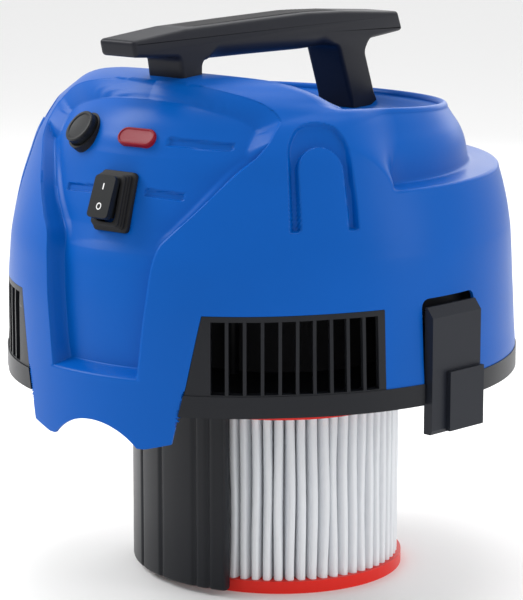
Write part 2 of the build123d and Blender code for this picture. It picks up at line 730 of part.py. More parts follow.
def make_latches():
    shape = latch_shape()
    for name, piece in (("latch_right", shape), ("latch_left", shape.mirror(Plane.YZ))):
        with BuildPart() as latch:
            add(piece)
        keep(name, latch)
    for name, side in (("latch_pin_right", 1), ("latch_pin_left", -1)):
        with BuildPart() as pin:
            add(latch_pin(side, LATCH_PIN_R, POCKET_HALF + POCKET_WALL))
        keep(name, pin)


# ---- handle -----------------------------------------------------------------------
def make_handle():
    inlay = handle_inlay_shape()
    with BuildPart() as handle:
        add(side_prism(HANDLE_SIDE, HANDLE_HALF))
        add(inlay, mode=Mode.SUBTRACT)
        for y, z in ((FRONT_FOOT_Y, FRONT_FOOT_Z), (REAR_FOOT_Y, BOWL_FLOOR)):
            add(disc(FOOT_SCREW_R + HOLE_CLEAR, z - PAST, z + FOOT_SCREW_UP, 0, y), mode=Mode.SUBTRACT)
    keep("handle", handle)
    with BuildPart() as handle_inlay:
        add(inlay)
    keep("handle_inlay", handle_inlay)
    with BuildPart() as handle_screws:
        for y, z in ((FRONT_FOOT_Y, FRONT_FOOT_Z), (REAR_FOOT_Y, BOWL_FLOOR)):
            add(disc(FOOT_SCREW_R, z - WALL - BITE, z + FOOT_SCREW_UP, 0, y))
            add(disc(FOOT_HEAD_R, z - WALL - FOOT_HEAD_T, z - WALL, 0, y))
    keep("handle_screws", handle_screws)


def handle_inlay_shape():
    top = [(y, z) for y, z in HANDLE_SIDE[1:5]]
    low = [(y, z - INLAY_T) for y, z in reversed(top)]
    return side_prism(top + low, INLAY_HALF)


# ---- filter -------------------------------------------------------------------------
def star(r_out, r_in):
    points = []
    for i in range(2 * PLEATS):
        turn = math.pi * i / PLEATS
        r = r_out if i % 2 == 0 else r_in
        points.append((r * math.cos(turn), r * math.sin(turn)))
    return points


def make_filter():
    with BuildPart() as filter_end_cap:
        add(disc(CAP_R, 0, CAP_T))
        add(tube(CORE_IN - CAP_GROOVE_IN, CAP_HUB_R, -PAST, CAP_GROOVE), mode=Mode.SUBTRACT)
    keep("filter_end_cap", filter_end_cap)
    with BuildPart() as filter_top_ring:
        add(tube(CAP_R, TOP_RING_IN, TOP_RING_Z, RING_BOTTOM))
    keep("filter_top_ring", filter_top_ring)
    with BuildPart() as filter_media:
        with BuildSketch(Plane.XY.offset(CAP_T)):
            Polygon(*star(PLEAT_OUT, PLEAT_IN), align=None)
            Polygon(*star(PLEAT_OUT - PLEAT_SHIFT, PLEAT_IN - PLEAT_SHIFT), align=None, mode=Mode.SUBTRACT)
        extrude(amount=TOP_RING_Z - CAP_T)
    keep("filter_media", filter_media)
    with BuildPart() as filter_core:
        add(tube(CORE_OUT, CORE_IN, CAP_T, TOP_RING_Z))
        for z in CORE_WINDOWS:
            with Locations((0, 0, z)):
                with PolarLocations(0, CORE_WINDOWS_ROUND):
                    Box(2 * (CORE_OUT + CORE_IN), *CORE_WINDOW, mode=Mode.SUBTRACT)
    keep("filter_core", filter_core)


def make_float():
    with BuildPart() as float_cage:
        add(tube(CAGE_FLANGE_R, INTAKE_R, RING_BOTTOM - CAGE_FLANGE_T, RING_BOTTOM))
        add(tube(CAGE_OUT, CAGE_IN, RING_BOTTOM - CAGE_COLLAR, RING_BOTTOM - CAGE_FLANGE_T + PAST))
        add(disc(CAGE_OUT, CAGE_BOTTOM, CAGE_BOTTOM + CAGE_FLOOR_T))
        with Locations((0, 0, CAGE_BOTTOM)):
            with PolarLocations((CAGE_OUT + CAGE_IN) / 2, CAGE_RIBS):
                Box(CAGE_OUT - CAGE_IN, CAGE_RIB_W, RING_BOTTOM - CAGE_COLLAR / 2 - CAGE_BOTTOM,
                    align=(Align.CENTER, Align.CENTER, Align.MIN))
        for x, y in places_round(CAGE_SCREW_AT, CAGE_TURNS):
            add(disc(CAGE_SCREW_R + HOLE_CLEAR, CAGE_BOTTOM, PLATE_TOP + PAST, x, y), mode=Mode.SUBTRACT)
    keep("float_cage", float_cage)
    with BuildPart() as float_cup:
        add(disc(FLOAT_R, FLOAT_Z - FLOAT_SKIRT, FLOAT_Z + FLOAT_H))
        add(disc(FLOAT_R - FLOAT_WALL, FLOAT_Z - FLOAT_SKIRT - PAST, FLOAT_Z + FLOAT_H - FLOAT_WALL),
            mode=Mode.SUBTRACT)
    keep("float_cup", float_cup)
    with BuildPart() as float_seal:
        outer, inner = FLOAT_SEAL_BAND
        add(tube(FLOAT_R - outer, FLOAT_R - inner, FLOAT_Z + FLOAT_H, FLOAT_Z + FLOAT_H + FLOAT_SEAL_T))
    keep("float_seal", float_seal)
    with BuildPart() as cage_screws:
        for x, y in places_round(CAGE_SCREW_AT, CAGE_TURNS):
            seat = RING_BOTTOM - CAGE_FLANGE_T
            add(disc(CAGE_SCREW_R, seat - BITE, PLATE_TOP, x, y))
            add(disc(CAGE_SCREW_HEAD_R, seat - CAGE_SCREW_HEAD_T, seat, x, y))
    keep("cage_screws", cage_screws)


def make_baffle():
    sweep = BAFFLE_TO - BAFFLE_FROM
    around = math.radians(BAFFLE_FROM)
    fin_plane = Plane(origin=(0, 0, FIN_FROM), x_dir=(math.sin(around), -math.cos(around), 0), z_dir=(0, 0, 1))
    low, high = BAFFLE_BOTTOM, RING_BOTTOM
    with BuildPart() as inlet_baffle:
        add(tube(BAFFLE_OUT, BAFFLE_OUT - BAFFLE_SKIN, low, high, 0, BAFFLE_FROM, sweep))
        add(tube(BAFFLE_IN + BAFFLE_SKIN, BAFFLE_IN, low, high, 0, BAFFLE_FROM, sweep))
        for start in (BAFFLE_FROM, BAFFLE_TO - BAFFLE_END_DEG):
            add(tube(BAFFLE_OUT, BAFFLE_IN, low, high, 0, start, BAFFLE_END_DEG))
        add(tube(BAFFLE_OUT, BAFFLE_IN, low, low + BAFFLE_FLOOR_T, 0, BAFFLE_FROM, sweep))
        add(tube(BAFFLE_OUT, BAFFLE_IN, high - BAFFLE_SKIN, high, 0, BAFFLE_FROM, sweep))
        with BuildSketch(fin_plane):
            with Locations(((BAFFLE_OUT + FIN_R - FIN_BITE) / 2, FIN_T / 2)):
                Rectangle(FIN_R - BAFFLE_OUT + FIN_BITE, FIN_T)
        extrude(amount=FIN_H)
    keep("inlet_baffle", inlet_baffle)


# ---- motor ----------------------------------------------------------------------------
def make_motor():
    with BuildPart() as lower_motor_seal:
        add(tube(CASE_R - 4, CASE_R - 14, PLATE_TOP, CASE_BOTTOM))
    keep("lower_motor_seal", lower_motor_seal)
    with BuildPart() as impeller_case:
        add(tube(CASE_R, CASE_R - CASE_T, CASE_BOTTOM, CASE_TOP))
        add(tube(CASE_R, 22, CASE_BOTTOM, CASE_BOTTOM + CASE_T))
        add(tube(CASE_R, 30, CASE_TOP - CASE_T, CASE_TOP))
    keep("impeller_case", impeller_case)
    with BuildPart() as impeller:
        add(tube(IMPELLER_R, 24, IMPELLER_Z, IMPELLER_Z + 1.2))
        add(tube(IMPELLER_R, SHAFT_R + HOLE_CLEAR, IMPELLER_Z + IMPELLER_H - 1.2, IMPELLER_Z + IMPELLER_H))
        add(tube(9, SHAFT_R + HOLE_CLEAR, IMPELLER_Z, IMPELLER_Z + IMPELLER_H))
        with Locations((0, 0, IMPELLER_Z + 1)):
            with PolarLocations(46, IMPELLER_VANES):
                Box(42, 1.5, IMPELLER_H - 2, rotation=(0, 0, 35), align=(Align.CENTER, Align.CENTER, Align.MIN))
    keep("impeller", impeller)
    with BuildPart() as diffuser:
        add(tube(CASE_R - CASE_T - HOLE_CLEAR, 14, DIFFUSER_Z, DIFFUSER_Z + 1.5))
        with Locations((0, 0, DIFFUSER_Z + 1)):
            with PolarLocations(52, 12):
                Box(34, 1.5, DIFFUSER_H, rotation=(0, 0, -40), align=(Align.CENTER, Align.CENTER, Align.MIN))
    keep("diffuser", diffuser)
    bearing_low = BRACKET_Z + 3
    with BuildPart() as lower_bracket:
        add(disc(40, BRACKET_Z, BRACKET_Z + 3))
        add(disc(BEARING_R + 4, BRACKET_Z, BRACKET_Z + BRACKET_H))
        for x in (-1, 1):
            add(block(x * 45 - 5, x * 45 + 5, -9, 9, BRACKET_Z, STATOR_Z))
            add(block(min(x * 20, x * 45), max(x * 20, x * 45), -9, 9, BRACKET_Z, BRACKET_Z + 3))
        add(disc(SHAFT_R + 1, BRACKET_Z - 1, STATOR_Z), mode=Mode.SUBTRACT)
        add(disc(BEARING_R + HOLE_CLEAR, bearing_low, STATOR_Z), mode=Mode.SUBTRACT)
    keep("lower_bracket", lower_bracket)
    with BuildPart() as lower_bearing:
        add(tube(BEARING_R, SHAFT_R + HOLE_CLEAR, bearing_low, bearing_low + BEARING_H))
    keep("lower_bearing", lower_bearing)
    with BuildPart() as stator:
        add(tube(STATOR_OUT, STATOR_IN, STATOR_Z, STATOR_Z + STATOR_H))
        for x in (-1, 1):
            add(block(x * 45 - 5, x * 45 + 5, -9, 9, STATOR_Z, STATOR_Z + STATOR_H))
    keep("stator", stator)
    with BuildPart() as field_coils:
        for low in (STATOR_Z - COIL_H, STATOR_Z + STATOR_H):
            for start in (20, 200):
                add(tube(38, 27, low, low + COIL_H, 0, start, 140))
    keep("field_coils", field_coils)
    with BuildPart() as armature:
        add(tube(ARMATURE_R, SHAFT_R + HOLE_CLEAR, STATOR_Z, STATOR_Z + STATOR_H))
        with Locations((0, 0, STATOR_Z - 1)):
            with PolarLocations(ARMATURE_R, 12):
                Box(6, 2.5, STATOR_H + 2, align=(Align.CENTER, Align.CENTER, Align.MIN), mode=Mode.SUBTRACT)
    keep("armature", armature)
    with BuildPart() as armature_windings:
        for low, high in ((STATOR_Z - 5, STATOR_Z), (STATOR_Z + STATOR_H, COMMUTATOR_Z - 0.5)):
            add(tube(20, SHAFT_R + HOLE_CLEAR, low, high))
    keep("armature_windings", armature_windings)
    with BuildPart() as commutator:
        add(tube(COMMUTATOR_R, SHAFT_R + HOLE_CLEAR, COMMUTATOR_Z, COMMUTATOR_Z + COMMUTATOR_H))
        with Locations((0, 0, COMMUTATOR_Z + 2)):
            with PolarLocations(COMMUTATOR_R, 24):
                Box(1.6, 0.6, COMMUTATOR_H, align=(Align.CENTER, Align.CENTER, Align.MIN), mode=Mode.SUBTRACT)
    keep("commutator", commutator)
    with BuildPart() as shaft:
        add(disc(SHAFT_R, SHAFT_BOTTOM, SHAFT_TOP))
    keep("shaft", shaft)
    with BuildPart() as impeller_nut:
        with BuildSketch(Plane.XY.offset(SHAFT_BOTTOM - 3)):
            RegularPolygon(6.5, 6)
        extrude(amount=3)
    keep("impeller_nut", impeller_nut)
    make_motor_top()


def make_motor_top():
    stator_top = STATOR_Z + STATOR_H
    bearing_low = TOP_BRACKET_Z
    with BuildPart() as upper_bracket:
        add(tube(14, 9 + HOLE_CLEAR, TOP_BRACKET_Z, TOP_BRACKET_Z + 8))
        for x in (-1, 1):
            add(block(x * 45 - 5, x * 45 + 5, -9, 9, stator_top, TOP_BRACKET_Z + 8))
            add(block(min(x * 12, x * 45), max(x * 12, x * 45), -9, 9, TOP_BRACKET_Z + 4, TOP_BRACKET_Z + 8))
        add(disc(9 + HOLE_CLEAR, TOP_BRACKET_Z - 1, TOP_BRACKET_Z + 9), mode=Mode.SUBTRACT)
    keep("upper_bracket", upper_bracket)
    with BuildPart() as upper_bearing:
        add(tube(9, SHAFT_R + HOLE_CLEAR, bearing_low, bearing_low + 6))
    keep("upper_bearing", upper_bearing)
    with BuildPart() as brush_holders:
        for x in (-1, 1):
            add(block(min(x * 14, x * 40), max(x * 14, x * 40), -5, 5, COMMUTATOR_Z + 2, COMMUTATOR_Z + 11))
            add(block(min(x * 13, x * 41), max(x * 13, x * 41), -3.05, 3.05, COMMUTATOR_Z + 4, COMMUTATOR_Z + 9),
                mode=Mode.SUBTRACT)
    keep("brush_holders", brush_holders)
    with BuildPart() as carbon_brushes:
        for x in (-1, 1):
            add(block(min(x * 12.3, x * 28), max(x * 12.3, x * 28), -3, 3, COMMUTATOR_Z + 4.05, COMMUTATOR_Z + 8.95))
    keep("carbon_brushes", carbon_brushes)
    with BuildPart() as cooling_fan:
        add(tube(FAN_R, SHAFT_R + HOLE_CLEAR, FAN_Z, FAN_Z + 1.5))
        add(tube(8, SHAFT_R + HOLE_CLEAR, FAN_Z, FAN_Z + FAN_H))
        with Locations((0, 0, FAN_Z + 1)):
            with PolarLocations(22.5, 9):
                Box(30, 1.5, FAN_H - 1, align=(Align.CENTER, Align.CENTER, Align.MIN))
    keep("cooling_fan", cooling_fan)
    with BuildPart() as motor_shroud:
        add(tube(SHROUD_R, SHROUD_R - SHROUD_WALL, CASE_TOP, SHROUD_TOP))
        add(tube(SHROUD_R, 24, SHROUD_TOP - SHROUD_WALL, SHROUD_TOP))
        add(tube(SHROUD_R, CASE_R - 3, CASE_TOP, CASE_TOP + SHROUD_WALL))
        for x, y in places_round(POST_AT, POST_TURNS):
            add(disc(POST_R + 1, CASE_TOP, CASE_TOP + SHROUD_WALL, x, y))
        for turn in (0, 60, 120):
            with Locations((0, 0, 255)):
                Box(2 * SHROUD_R + 10, 30, 60, rotation=(0, 0, turn), mode=Mode.SUBTRACT)
        for x, y in places_round(POST_AT, POST_TURNS):
            add(disc(1.6, CASE_TOP - 1, CASE_TOP + 5, x, y), mode=Mode.SUBTRACT)
    keep("motor_shroud", motor_shroud)
    with BuildPart() as shroud_screws:
        for x, y in places_round(POST_AT, POST_TURNS):
            add(disc(1.45, CASE_TOP - 14, CASE_TOP + SHROUD_WALL + 1, x, y))
            add(disc(3.2, CASE_TOP + SHROUD_WALL, CASE_TOP + SHROUD_WALL + 2.2, x, y))
    keep("shroud_screws", shroud_screws)
    with BuildPart() as case_foam:
        add(tube(SHROUD_R, CASE_R + HOLE_CLEAR, PLATE_TOP, CASE_TOP))
    keep("case_foam", case_foam)
    with BuildPart() as upper_motor_seal:
        add(tube(34, 24, SHROUD_TOP, BOWL_FLOOR - WALL))
    keep("upper_motor_seal", upper_motor_seal)


# ---- controls ----------------------------------------------------------------------------
def make_switch():
    plane = outward_plane(0, SWITCH_R, SWITCH_Z, SWITCH_TILT)
    pivot = plane.offset(ROCKER_PIVOT)
    across = Plane(origin=pivot.origin, x_dir=pivot.z_dir, z_dir=pivot.x_dir)
    tilted = pivot.rotated((ROCKER_TILT, 0, 0))
    rise = (BOOT_TOP - 1.0) / BOOT_RIBS
    with BuildPart() as switch_boot:
        add(plate_on(plane, BOOT_W + 3.6, BOOT_H + 3.6, BOOT_SEAT, 0.6, radius=4))
        add(plate_on(plane, BOOT_W - 2 * BOOT_GROOVE, BOOT_H - 2 * BOOT_GROOVE, BOOT_SEAT, BOOT_TOP, radius=3))
        for i in range(BOOT_RIBS):
            low = 1.0 + i * rise + 0.9
            shrink = 1.3 * i
            add(plate_on(plane, BOOT_W - shrink, BOOT_H - shrink, low, low + rise - 0.9, radius=3))
        add(plate_on(plane, BOOT_OPEN_W, BOOT_OPEN_H, BOOT_SEAT - 1, BOOT_TOP + 1), mode=Mode.SUBTRACT)
        add(plate_on(plane, BOOT_OPEN_W, 7, BOOT_SEAT - 1, BOOT_TOP + 1), mode=Mode.SUBTRACT)
    keep("switch_boot", switch_boot)
    with BuildPart() as switch_body:
        add(plate_on(plane, BOOT_W - 4.1, BOOT_H - 6.1, -26, BOOT_SEAT - 0.02))
        for x in (-1, 1):
            add(plate_on(plane, 1.0, 8, BOOT_SEAT - 1, ROCKER_PIVOT + 2.2, shift=(x * (BOOT_OPEN_W / 2 - 0.55), 0)))
        for x in (-7, 0, 7):
            add(plate_on(plane, 4.5, 0.8, -36, -25, shift=(x, 0)))
        with BuildSketch(across.offset(-BOOT_OPEN_W / 2)):
            Circle(ROCKER_PIN_R + 0.03)
        extrude(amount=BOOT_OPEN_W, mode=Mode.SUBTRACT)
    keep("switch_body", switch_body)
    with BuildPart() as rocker_pin:
        with BuildSketch(across):
            Circle(ROCKER_PIN_R)
        extrude(amount=BOOT_OPEN_W / 2 - 0.05, both=True)
    keep("rocker_pin", rocker_pin)
    with BuildPart() as rocker:
        add(plate_on(tilted, ROCKER_W, ROCKER_H, ROCKER_UNDER - ROCKER_PIVOT, ROCKER_UNDER - ROCKER_PIVOT + ROCKER_T,
                     radius=3))
        add(plate_on(tilted, ROCKER_SKIRT_W, ROCKER_SKIRT_H, 1.0, ROCKER_UNDER - ROCKER_PIVOT + 0.1))
        add(plate_on(tilted, ROCKER_SKIRT_W, 7, -2.6, 2))
        with BuildSketch(across.offset(-BOOT_OPEN_W / 2)):
            Circle(ROCKER_PIN_R + HOLE_CLEAR)
        extrude(amount=BOOT_OPEN_W, mode=Mode.SUBTRACT)
    keep("rocker", rocker)


def make_button():
    plane = outward_plane(BUTTON_PHI, BUTTON_R, BUTTON_Z, BUTTON_TILT)
    with BuildPart() as button_guide:
        add(rod_on(plane, GUIDE_OUT - 0.02, GUIDE_END, GUIDE_TOP))
        add(rod_on(plane, GUIDE_IN, GUIDE_FLOOR, GUIDE_TOP + 1), mode=Mode.SUBTRACT)
        add(rod_on(plane, GUIDE_IN - 1, GUIDE_END + 2.5, GUIDE_FLOOR - 1.5), mode=Mode.SUBTRACT)
        add(rod_on(plane, STEM_R + HOLE_CLEAR, GUIDE_END - 1, GUIDE_TOP + 1), mode=Mode.SUBTRACT)
        add(rod_on(plane, VALVE_R - 3, GUIDE_END - 1, GUIDE_END + 3), mode=Mode.SUBTRACT)
        for turn in range(3):
            add(plate_on(plane.rotated((0, 0, 60 * turn)), 2 * GUIDE_OUT + 4, 8, -34, -16), mode=Mode.SUBTRACT)
    keep("button_guide", button_guide)
    with BuildPart() as clean_button:
        add(rod_on(plane, BUTTON_CAP_R, BUTTON_CAP_LOW, BUTTON_CAP_HIGH - 1))
        add(rod_on(plane, BUTTON_CAP_R, BUTTON_CAP_HIGH - 1.1, BUTTON_CAP_HIGH))
        add(rod_on(plane, BUTTON_CAP_R - 2.5, BUTTON_CAP_HIGH - 1.2, BUTTON_CAP_HIGH + 1), mode=Mode.SUBTRACT)
    keep("clean_button", clean_button)
    with BuildPart() as valve_stem:
        add(rod_on(plane, STEM_R, GUIDE_END - 0.3, BUTTON_CAP_LOW))
    keep("valve_stem", valve_stem)
    with BuildPart() as valve_disc:
        add(rod_on(plane, VALVE_R, GUIDE_END - 0.3 - VALVE_T, GUIDE_END - 0.3))
    keep("valve_disc", valve_disc)
    low, high = GUIDE_FLOOR + SPRING_WIRE + 0.05, BUTTON_CAP_LOW - SPRING_WIRE - 0.05
    path = Helix(pitch=(high - low) / 3, height=high - low, radius=SPRING_R)
    start = Plane(origin=path @ 0, z_dir=path % 0)
    with BuildPart() as coil:
        with BuildSketch(start):
            Circle(SPRING_WIRE)
        sweep(path=path, is_frenet=True)
    with BuildPart() as button_spring:
        add(plane.offset(low).location * coil.part)
    keep("button_spring", button_spring)
    seat = outward_plane(BADGE_PHI, BADGE_R, BADGE_Z, BUTTON_TILT)
    with BuildPart() as filter_badge:
        add(plate_on(seat, BADGE_W - 0.1, BADGE_H - 0.1, BADGE_SEAT, BADGE_TOP, radius=BADGE_H / 2 - 0.2))
    keep("filter_badge", filter_badge)


def make_inlet():
    plane = outward_plane(180, 0, GLAND_Z)
    wall = 184.7
    with BuildPart() as cord_gland:
        add(rod_on(plane, GLAND_R - HOLE_CLEAR, wall - 14, wall + GLAND_OUT))
        add(rod_on(plane, GLAND_R + 3, wall - WALL - 5, wall - WALL - 1.5))
        add(rod_on(plane, GLAND_BORE, wall - 20, wall + GLAND_OUT + 5), mode=Mode.SUBTRACT)
    keep("cord_gland", cord_gland)
    with BuildPart() as terminal_block:
        add(block(-17, 17, 112, 128, PLATE_TOP, PLATE_TOP + 16))
        for x in (-10, 0, 10):
            add(disc(2.5, PLATE_TOP + 8, PLATE_TOP + 17, x, 120), mode=Mode.SUBTRACT)
    keep("terminal_block", terminal_block)


make_top_cover()
make_base_housing()
make_gasket()
make_cover_screws()
make_latches()
make_handle()
make_filter()
make_float()
make_baffle()
make_motor()
make_switch()
make_button()
make_inlet()
os.makedirs("parts", exist_ok=True)
for node, body in SOLIDS.items():
    export_step(body.part, f"parts/{node}.step")
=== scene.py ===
import json
import math

import bpy
import numpy as np
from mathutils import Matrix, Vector


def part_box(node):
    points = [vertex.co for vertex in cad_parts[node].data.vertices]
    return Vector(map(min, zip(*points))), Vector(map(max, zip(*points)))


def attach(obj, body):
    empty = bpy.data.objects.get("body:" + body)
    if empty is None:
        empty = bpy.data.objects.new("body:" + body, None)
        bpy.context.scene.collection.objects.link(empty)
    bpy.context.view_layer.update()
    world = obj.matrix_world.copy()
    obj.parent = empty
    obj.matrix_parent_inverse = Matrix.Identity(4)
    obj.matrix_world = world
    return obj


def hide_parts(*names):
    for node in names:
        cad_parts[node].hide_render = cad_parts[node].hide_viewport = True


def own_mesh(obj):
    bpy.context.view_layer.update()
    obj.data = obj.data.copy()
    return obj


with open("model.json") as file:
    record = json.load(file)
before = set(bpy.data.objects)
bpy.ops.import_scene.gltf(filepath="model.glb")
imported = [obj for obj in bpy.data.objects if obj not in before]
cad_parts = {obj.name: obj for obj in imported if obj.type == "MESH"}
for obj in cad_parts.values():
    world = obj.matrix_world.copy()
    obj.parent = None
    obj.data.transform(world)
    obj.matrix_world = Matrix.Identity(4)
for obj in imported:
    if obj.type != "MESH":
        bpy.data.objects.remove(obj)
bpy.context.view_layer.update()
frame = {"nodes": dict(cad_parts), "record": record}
NODES = frame["nodes"]
MM = 0.001

# ---- driving sizes, millimetres ----
BODY_Y = -22.0                # middle of the round cover
RING_BOTTOM = (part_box("base_housing")[0] / MM).z
RING_TOP = RING_BOTTOM + 15.0
SIDE_PROFILE = [
    (186.4, 120.0), (186.3, 150.0), (186.2, 174.0), (185.2, 190.0), (184.3, 208.0), (183.3, 226.0),
    (182.4, 244.0), (181.4, 260.0), (180.5, 267.0), (178.4, 280.0), (174.3, 297.0), (168.3, 315.0),
    (161.5, 333.0), (150.3, 350.0), (142.0, 357.5), (132.5, 364.0), (121.0, 369.3), (108.0, 373.0),
    (84.0, 376.6), (50.0, 378.0), (0.0, 378.3),
]
CREST_Y = -44.0               # middle of the smaller round shape that fills out the front
CREST_PROFILE = [
    (170.7, 120.0), (170.7, 174.0), (170.6, 200.0), (170.3, 226.0), (169.2, 244.0), (167.4, 262.0),
    (163.0, 280.0), (157.6, 297.0), (150.2, 315.0), (141.5, 333.0), (135.0, 345.0), (128.0, 357.0),
    (119.0, 367.0), (108.0, 373.5), (94.0, 377.0), (72.0, 378.6), (0.0, 379.3),
]
FLOOR_PROFILE = [  # the panel's floor, before its depth, about the same forward centre
    (60.0, 120.0), (100.0, 290.0), (131.0, 312.0), (141.0, 322.0), (139.5, 333.0), (135.0, 345.0),
    (131.8, 350.0), (128.0, 357.0), (119.0, 367.0), (0.0, 380.0),
]
CREST_BLEND = 2.5             # how softly the two round shapes run together
CREST_FADE_FROM = 62.0        # degrees off the front where the forward shape fades out
CREST_FADE = 12.0
LEDGE_CURVE = [
    (172.3, 304.0), (172.0, 305.6), (171.0, 306.7), (169.3, 307.2), (160.0, 307.4), (152.8, 307.6),
    (150.8, 308.4), (149.8, 310.5),
]
COLLAR_CURVE = [
    (149.8, 310.5), (147.2, 324.0), (143.5, 333.0), (138.2, 341.0), (131.8, 350.5), (126.0, 357.0),
]
SIDE_LOW = 130.0
SIDE_TOP = 304.0
COLLAR_LOW = 310.5
COLLAR_HIGH = 350.0
COLLAR_START = (68.5, 57.0)   # degrees off the front where the rear collar begins, at the ledge and above
COLLAR_FULL = (74.0, 82.0)    # and where it has stepped in fully
INNER_R = 124.0
BOWL_FLOOR = 336.0
BOWL_FOOT_R = 112.0
BOWL_STEEP = 1.3
RIM_Z = 355.5
RIM_SLOPE = 0.07
RIM_R = 131.0
RIM_ROUND_HIGH = 4.0
RIM_ROUND_WIDE = 3.1
RIM_BLEND = 3.0
SHOULDER_BLEND = 5.0
SHOULDER_FROM = 36.0          # degrees off the front where the rim starts to hold the shoulder up
SHOULDER_FADE = 14.0
RAMP_HIGH_Y = -108.0
RAMP_LOW_Y = -20.0
RAMP_DROP = 43.0
SHELL = 2.2

PANEL_DEPTH = 9.0
PANEL_LOW_WALL = 5.0          # width of the wall at the panel's foot
PANEL_REACH = 52.0            # degrees off the front that the panel and its slots stay within
PANEL_SIDE = [
    (37.4, 182.5), (41.0, 215.0), (43.5, 235.0), (46.0, 258.0), (49.5, 273.0), (57.0, 282.5),
    (70.0, 298.0), (85.9, 320.0), (95.9, 332.7), (99.3, 342.0),
]
PANEL_CORNERS = [(98.8, 149.5), (95.5, 145.0), (87.0, 140.0), (72.0, 134.5), (36.0, 124.0), (0.0, 120.0)]
PANEL_BAND = 12.5             # width of the sloped wall along the panel's top
PANEL_WALL = 2.6              # and down its sides
TONGUE_EDGE = [(57.0, 120.0), (61.5, 139.0), (66.5, 161.0), (71.0, 180.0), (80.5, 229.0), (86.0, 256.0)]
TONGUE_BOTTOM = 134.2
TONGUE_CORNER = (43.0, 61.5, 5.0)
ARCH_HALF = 37.0
ARCH_RISE = 15.8
VENT_END = 64.5
VENT_TOP = 229.0
LATCH_PHI = 82.5
LATCH_CUT_HALF = 27.0
LATCH_CUT_TOP = 232.5
LATCH_CUT_ROUND = 6.0
GROOVE_PHI = 51.4
GROOVE_FOOT = 285.5
GROOVE_OUT = 23.6
GROOVE_IN = 17.8
GROOVE_OUT_TOP = 356.0
GROOVE_IN_TOP = 340.0
GROOVE_DEPTH = 5.2
GROOVE_R = 174.0              # radius at which the groove's width is measured
GROOVE_TALL = 1.05            # how much taller than round the arches are
GROOVE_SCOOP = 1.35
GROOVE_REACH = 12             # degrees to each side of its middle that hold all of the groove
TONGUE_SLANT = 0.97           # turns distances along x or z into distances square to the tongue's edges


# ---- small helpers ----
def ease(t):
    t = np.clip(t, 0.0, 1.0)
    return t * t * (3.0 - 2.0 * t)


def mix(a, b, t):
    return a + (b - a) * t


def soft_min(a, b, k):
    h = np.clip(0.5 + 0.5 * (b - a) / k, 0.0, 1.0)
    return mix(b, a, h) - k * h * (1.0 - h)


def soft_max(a, b, k):
    return -soft_min(-a, -b, k)


def rounded_curve(points, steps=24):
    """Points joined by a smooth curve that passes through all of them."""
    p = np.array(points, float)
    p = np.vstack([2 * p[0] - p[1], p, 2 * p[-1] - p[-2]])
    out = []
    for i in range(1, len(p) - 2):
        t = np.linspace(0, 1, steps, endpoint=False)[:, None]
        m0 = (p[i + 1] - p[i - 1]) / 2
        m1 = (p[i + 2] - p[i]) / 2
        out.append((2 * t**3 - 3 * t**2 + 1) * p[i] + (t**3 - 2 * t**2 + t) * m0
                   + (3 * t**2 - 2 * t**3) * p[i + 1] + (t**3 - t**2) * m1)
    out.append(p[-2][None])
    return np.vstack(out)


def lookup(value, table, key=0, give=1):
    """Reads one column of a curve at a value of another."""
    order = np.argsort(table[:, key], kind="stable")
    return np.interp(value, table[order, key], table[order, give])


def new_object(name, verts, faces, body, material, smooth=True):
    mesh = bpy.data.meshes.new(name)
    mesh.from_pydata([tuple(v) for v in verts], [], [tuple(f) for f in faces])
    mesh.validate()
    mesh.update()
    obj = bpy.data.objects.new(name, mesh)
    bpy.context.scene.collection.objects.link(obj)
    if smooth:
        mesh.shade_smooth()
    mesh.materials.append(material)
    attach(obj, body)
    return obj


# ---- materials ----
PLASTIC_SPECULAR = 0.2
METAL_SPECULAR = 0.5
TOOL_MARKS = 0.00008          # depth in metres


def new_material(name, colour, roughness, metallic=0.0):
    mat = bpy.data.materials.new(name)
    mat.use_nodes = True
    shader = mat.node_tree.nodes["Principled BSDF"]
    shader.inputs["Base Color"].default_value = (*colour, 1.0)
    shader.inputs["Roughness"].default_value = roughness
    shader.inputs["Metallic"].default_value = metallic
    shader.inputs["Specular IOR Level"].default_value = METAL_SPECULAR if metallic else PLASTIC_SPECULAR
    return mat, shader


def add_node(mat, kind, **values):
    node = mat.node_tree.nodes.new(kind)
    for key, value in values.items():
        if key in node.inputs:
            node.inputs[key].default_value = value
        else:
            setattr(node, key, value)
    return node


def uneven_surface(mat, shader, fine, broad, strength, grain, gloss_range):
    """Fine noise as a grain in the surface, and broad noise as a change of gloss."""
    link = mat.node_tree.links.new
    place = add_node(mat, "ShaderNodeTexCoord")
    for noise in (fine, broad):
        link(place.outputs["Object"], noise.inputs["Vector"])
    bump = add_node(mat, "ShaderNodeBump", Strength=strength, Distance=grain)
    link(fine.outputs["Fac"], bump.inputs["Height"])
    link(bump.outputs["Normal"], shader.inputs["Normal"])
    gloss = add_node(mat, "ShaderNodeMapRange")
    gloss.inputs["To Min"].default_value = gloss_range[0]
    gloss.inputs["To Max"].default_value = gloss_range[1]
    link(broad.outputs["Fac"], gloss.inputs["Value"])
    link(gloss.outputs["Result"], shader.inputs["Roughness"])


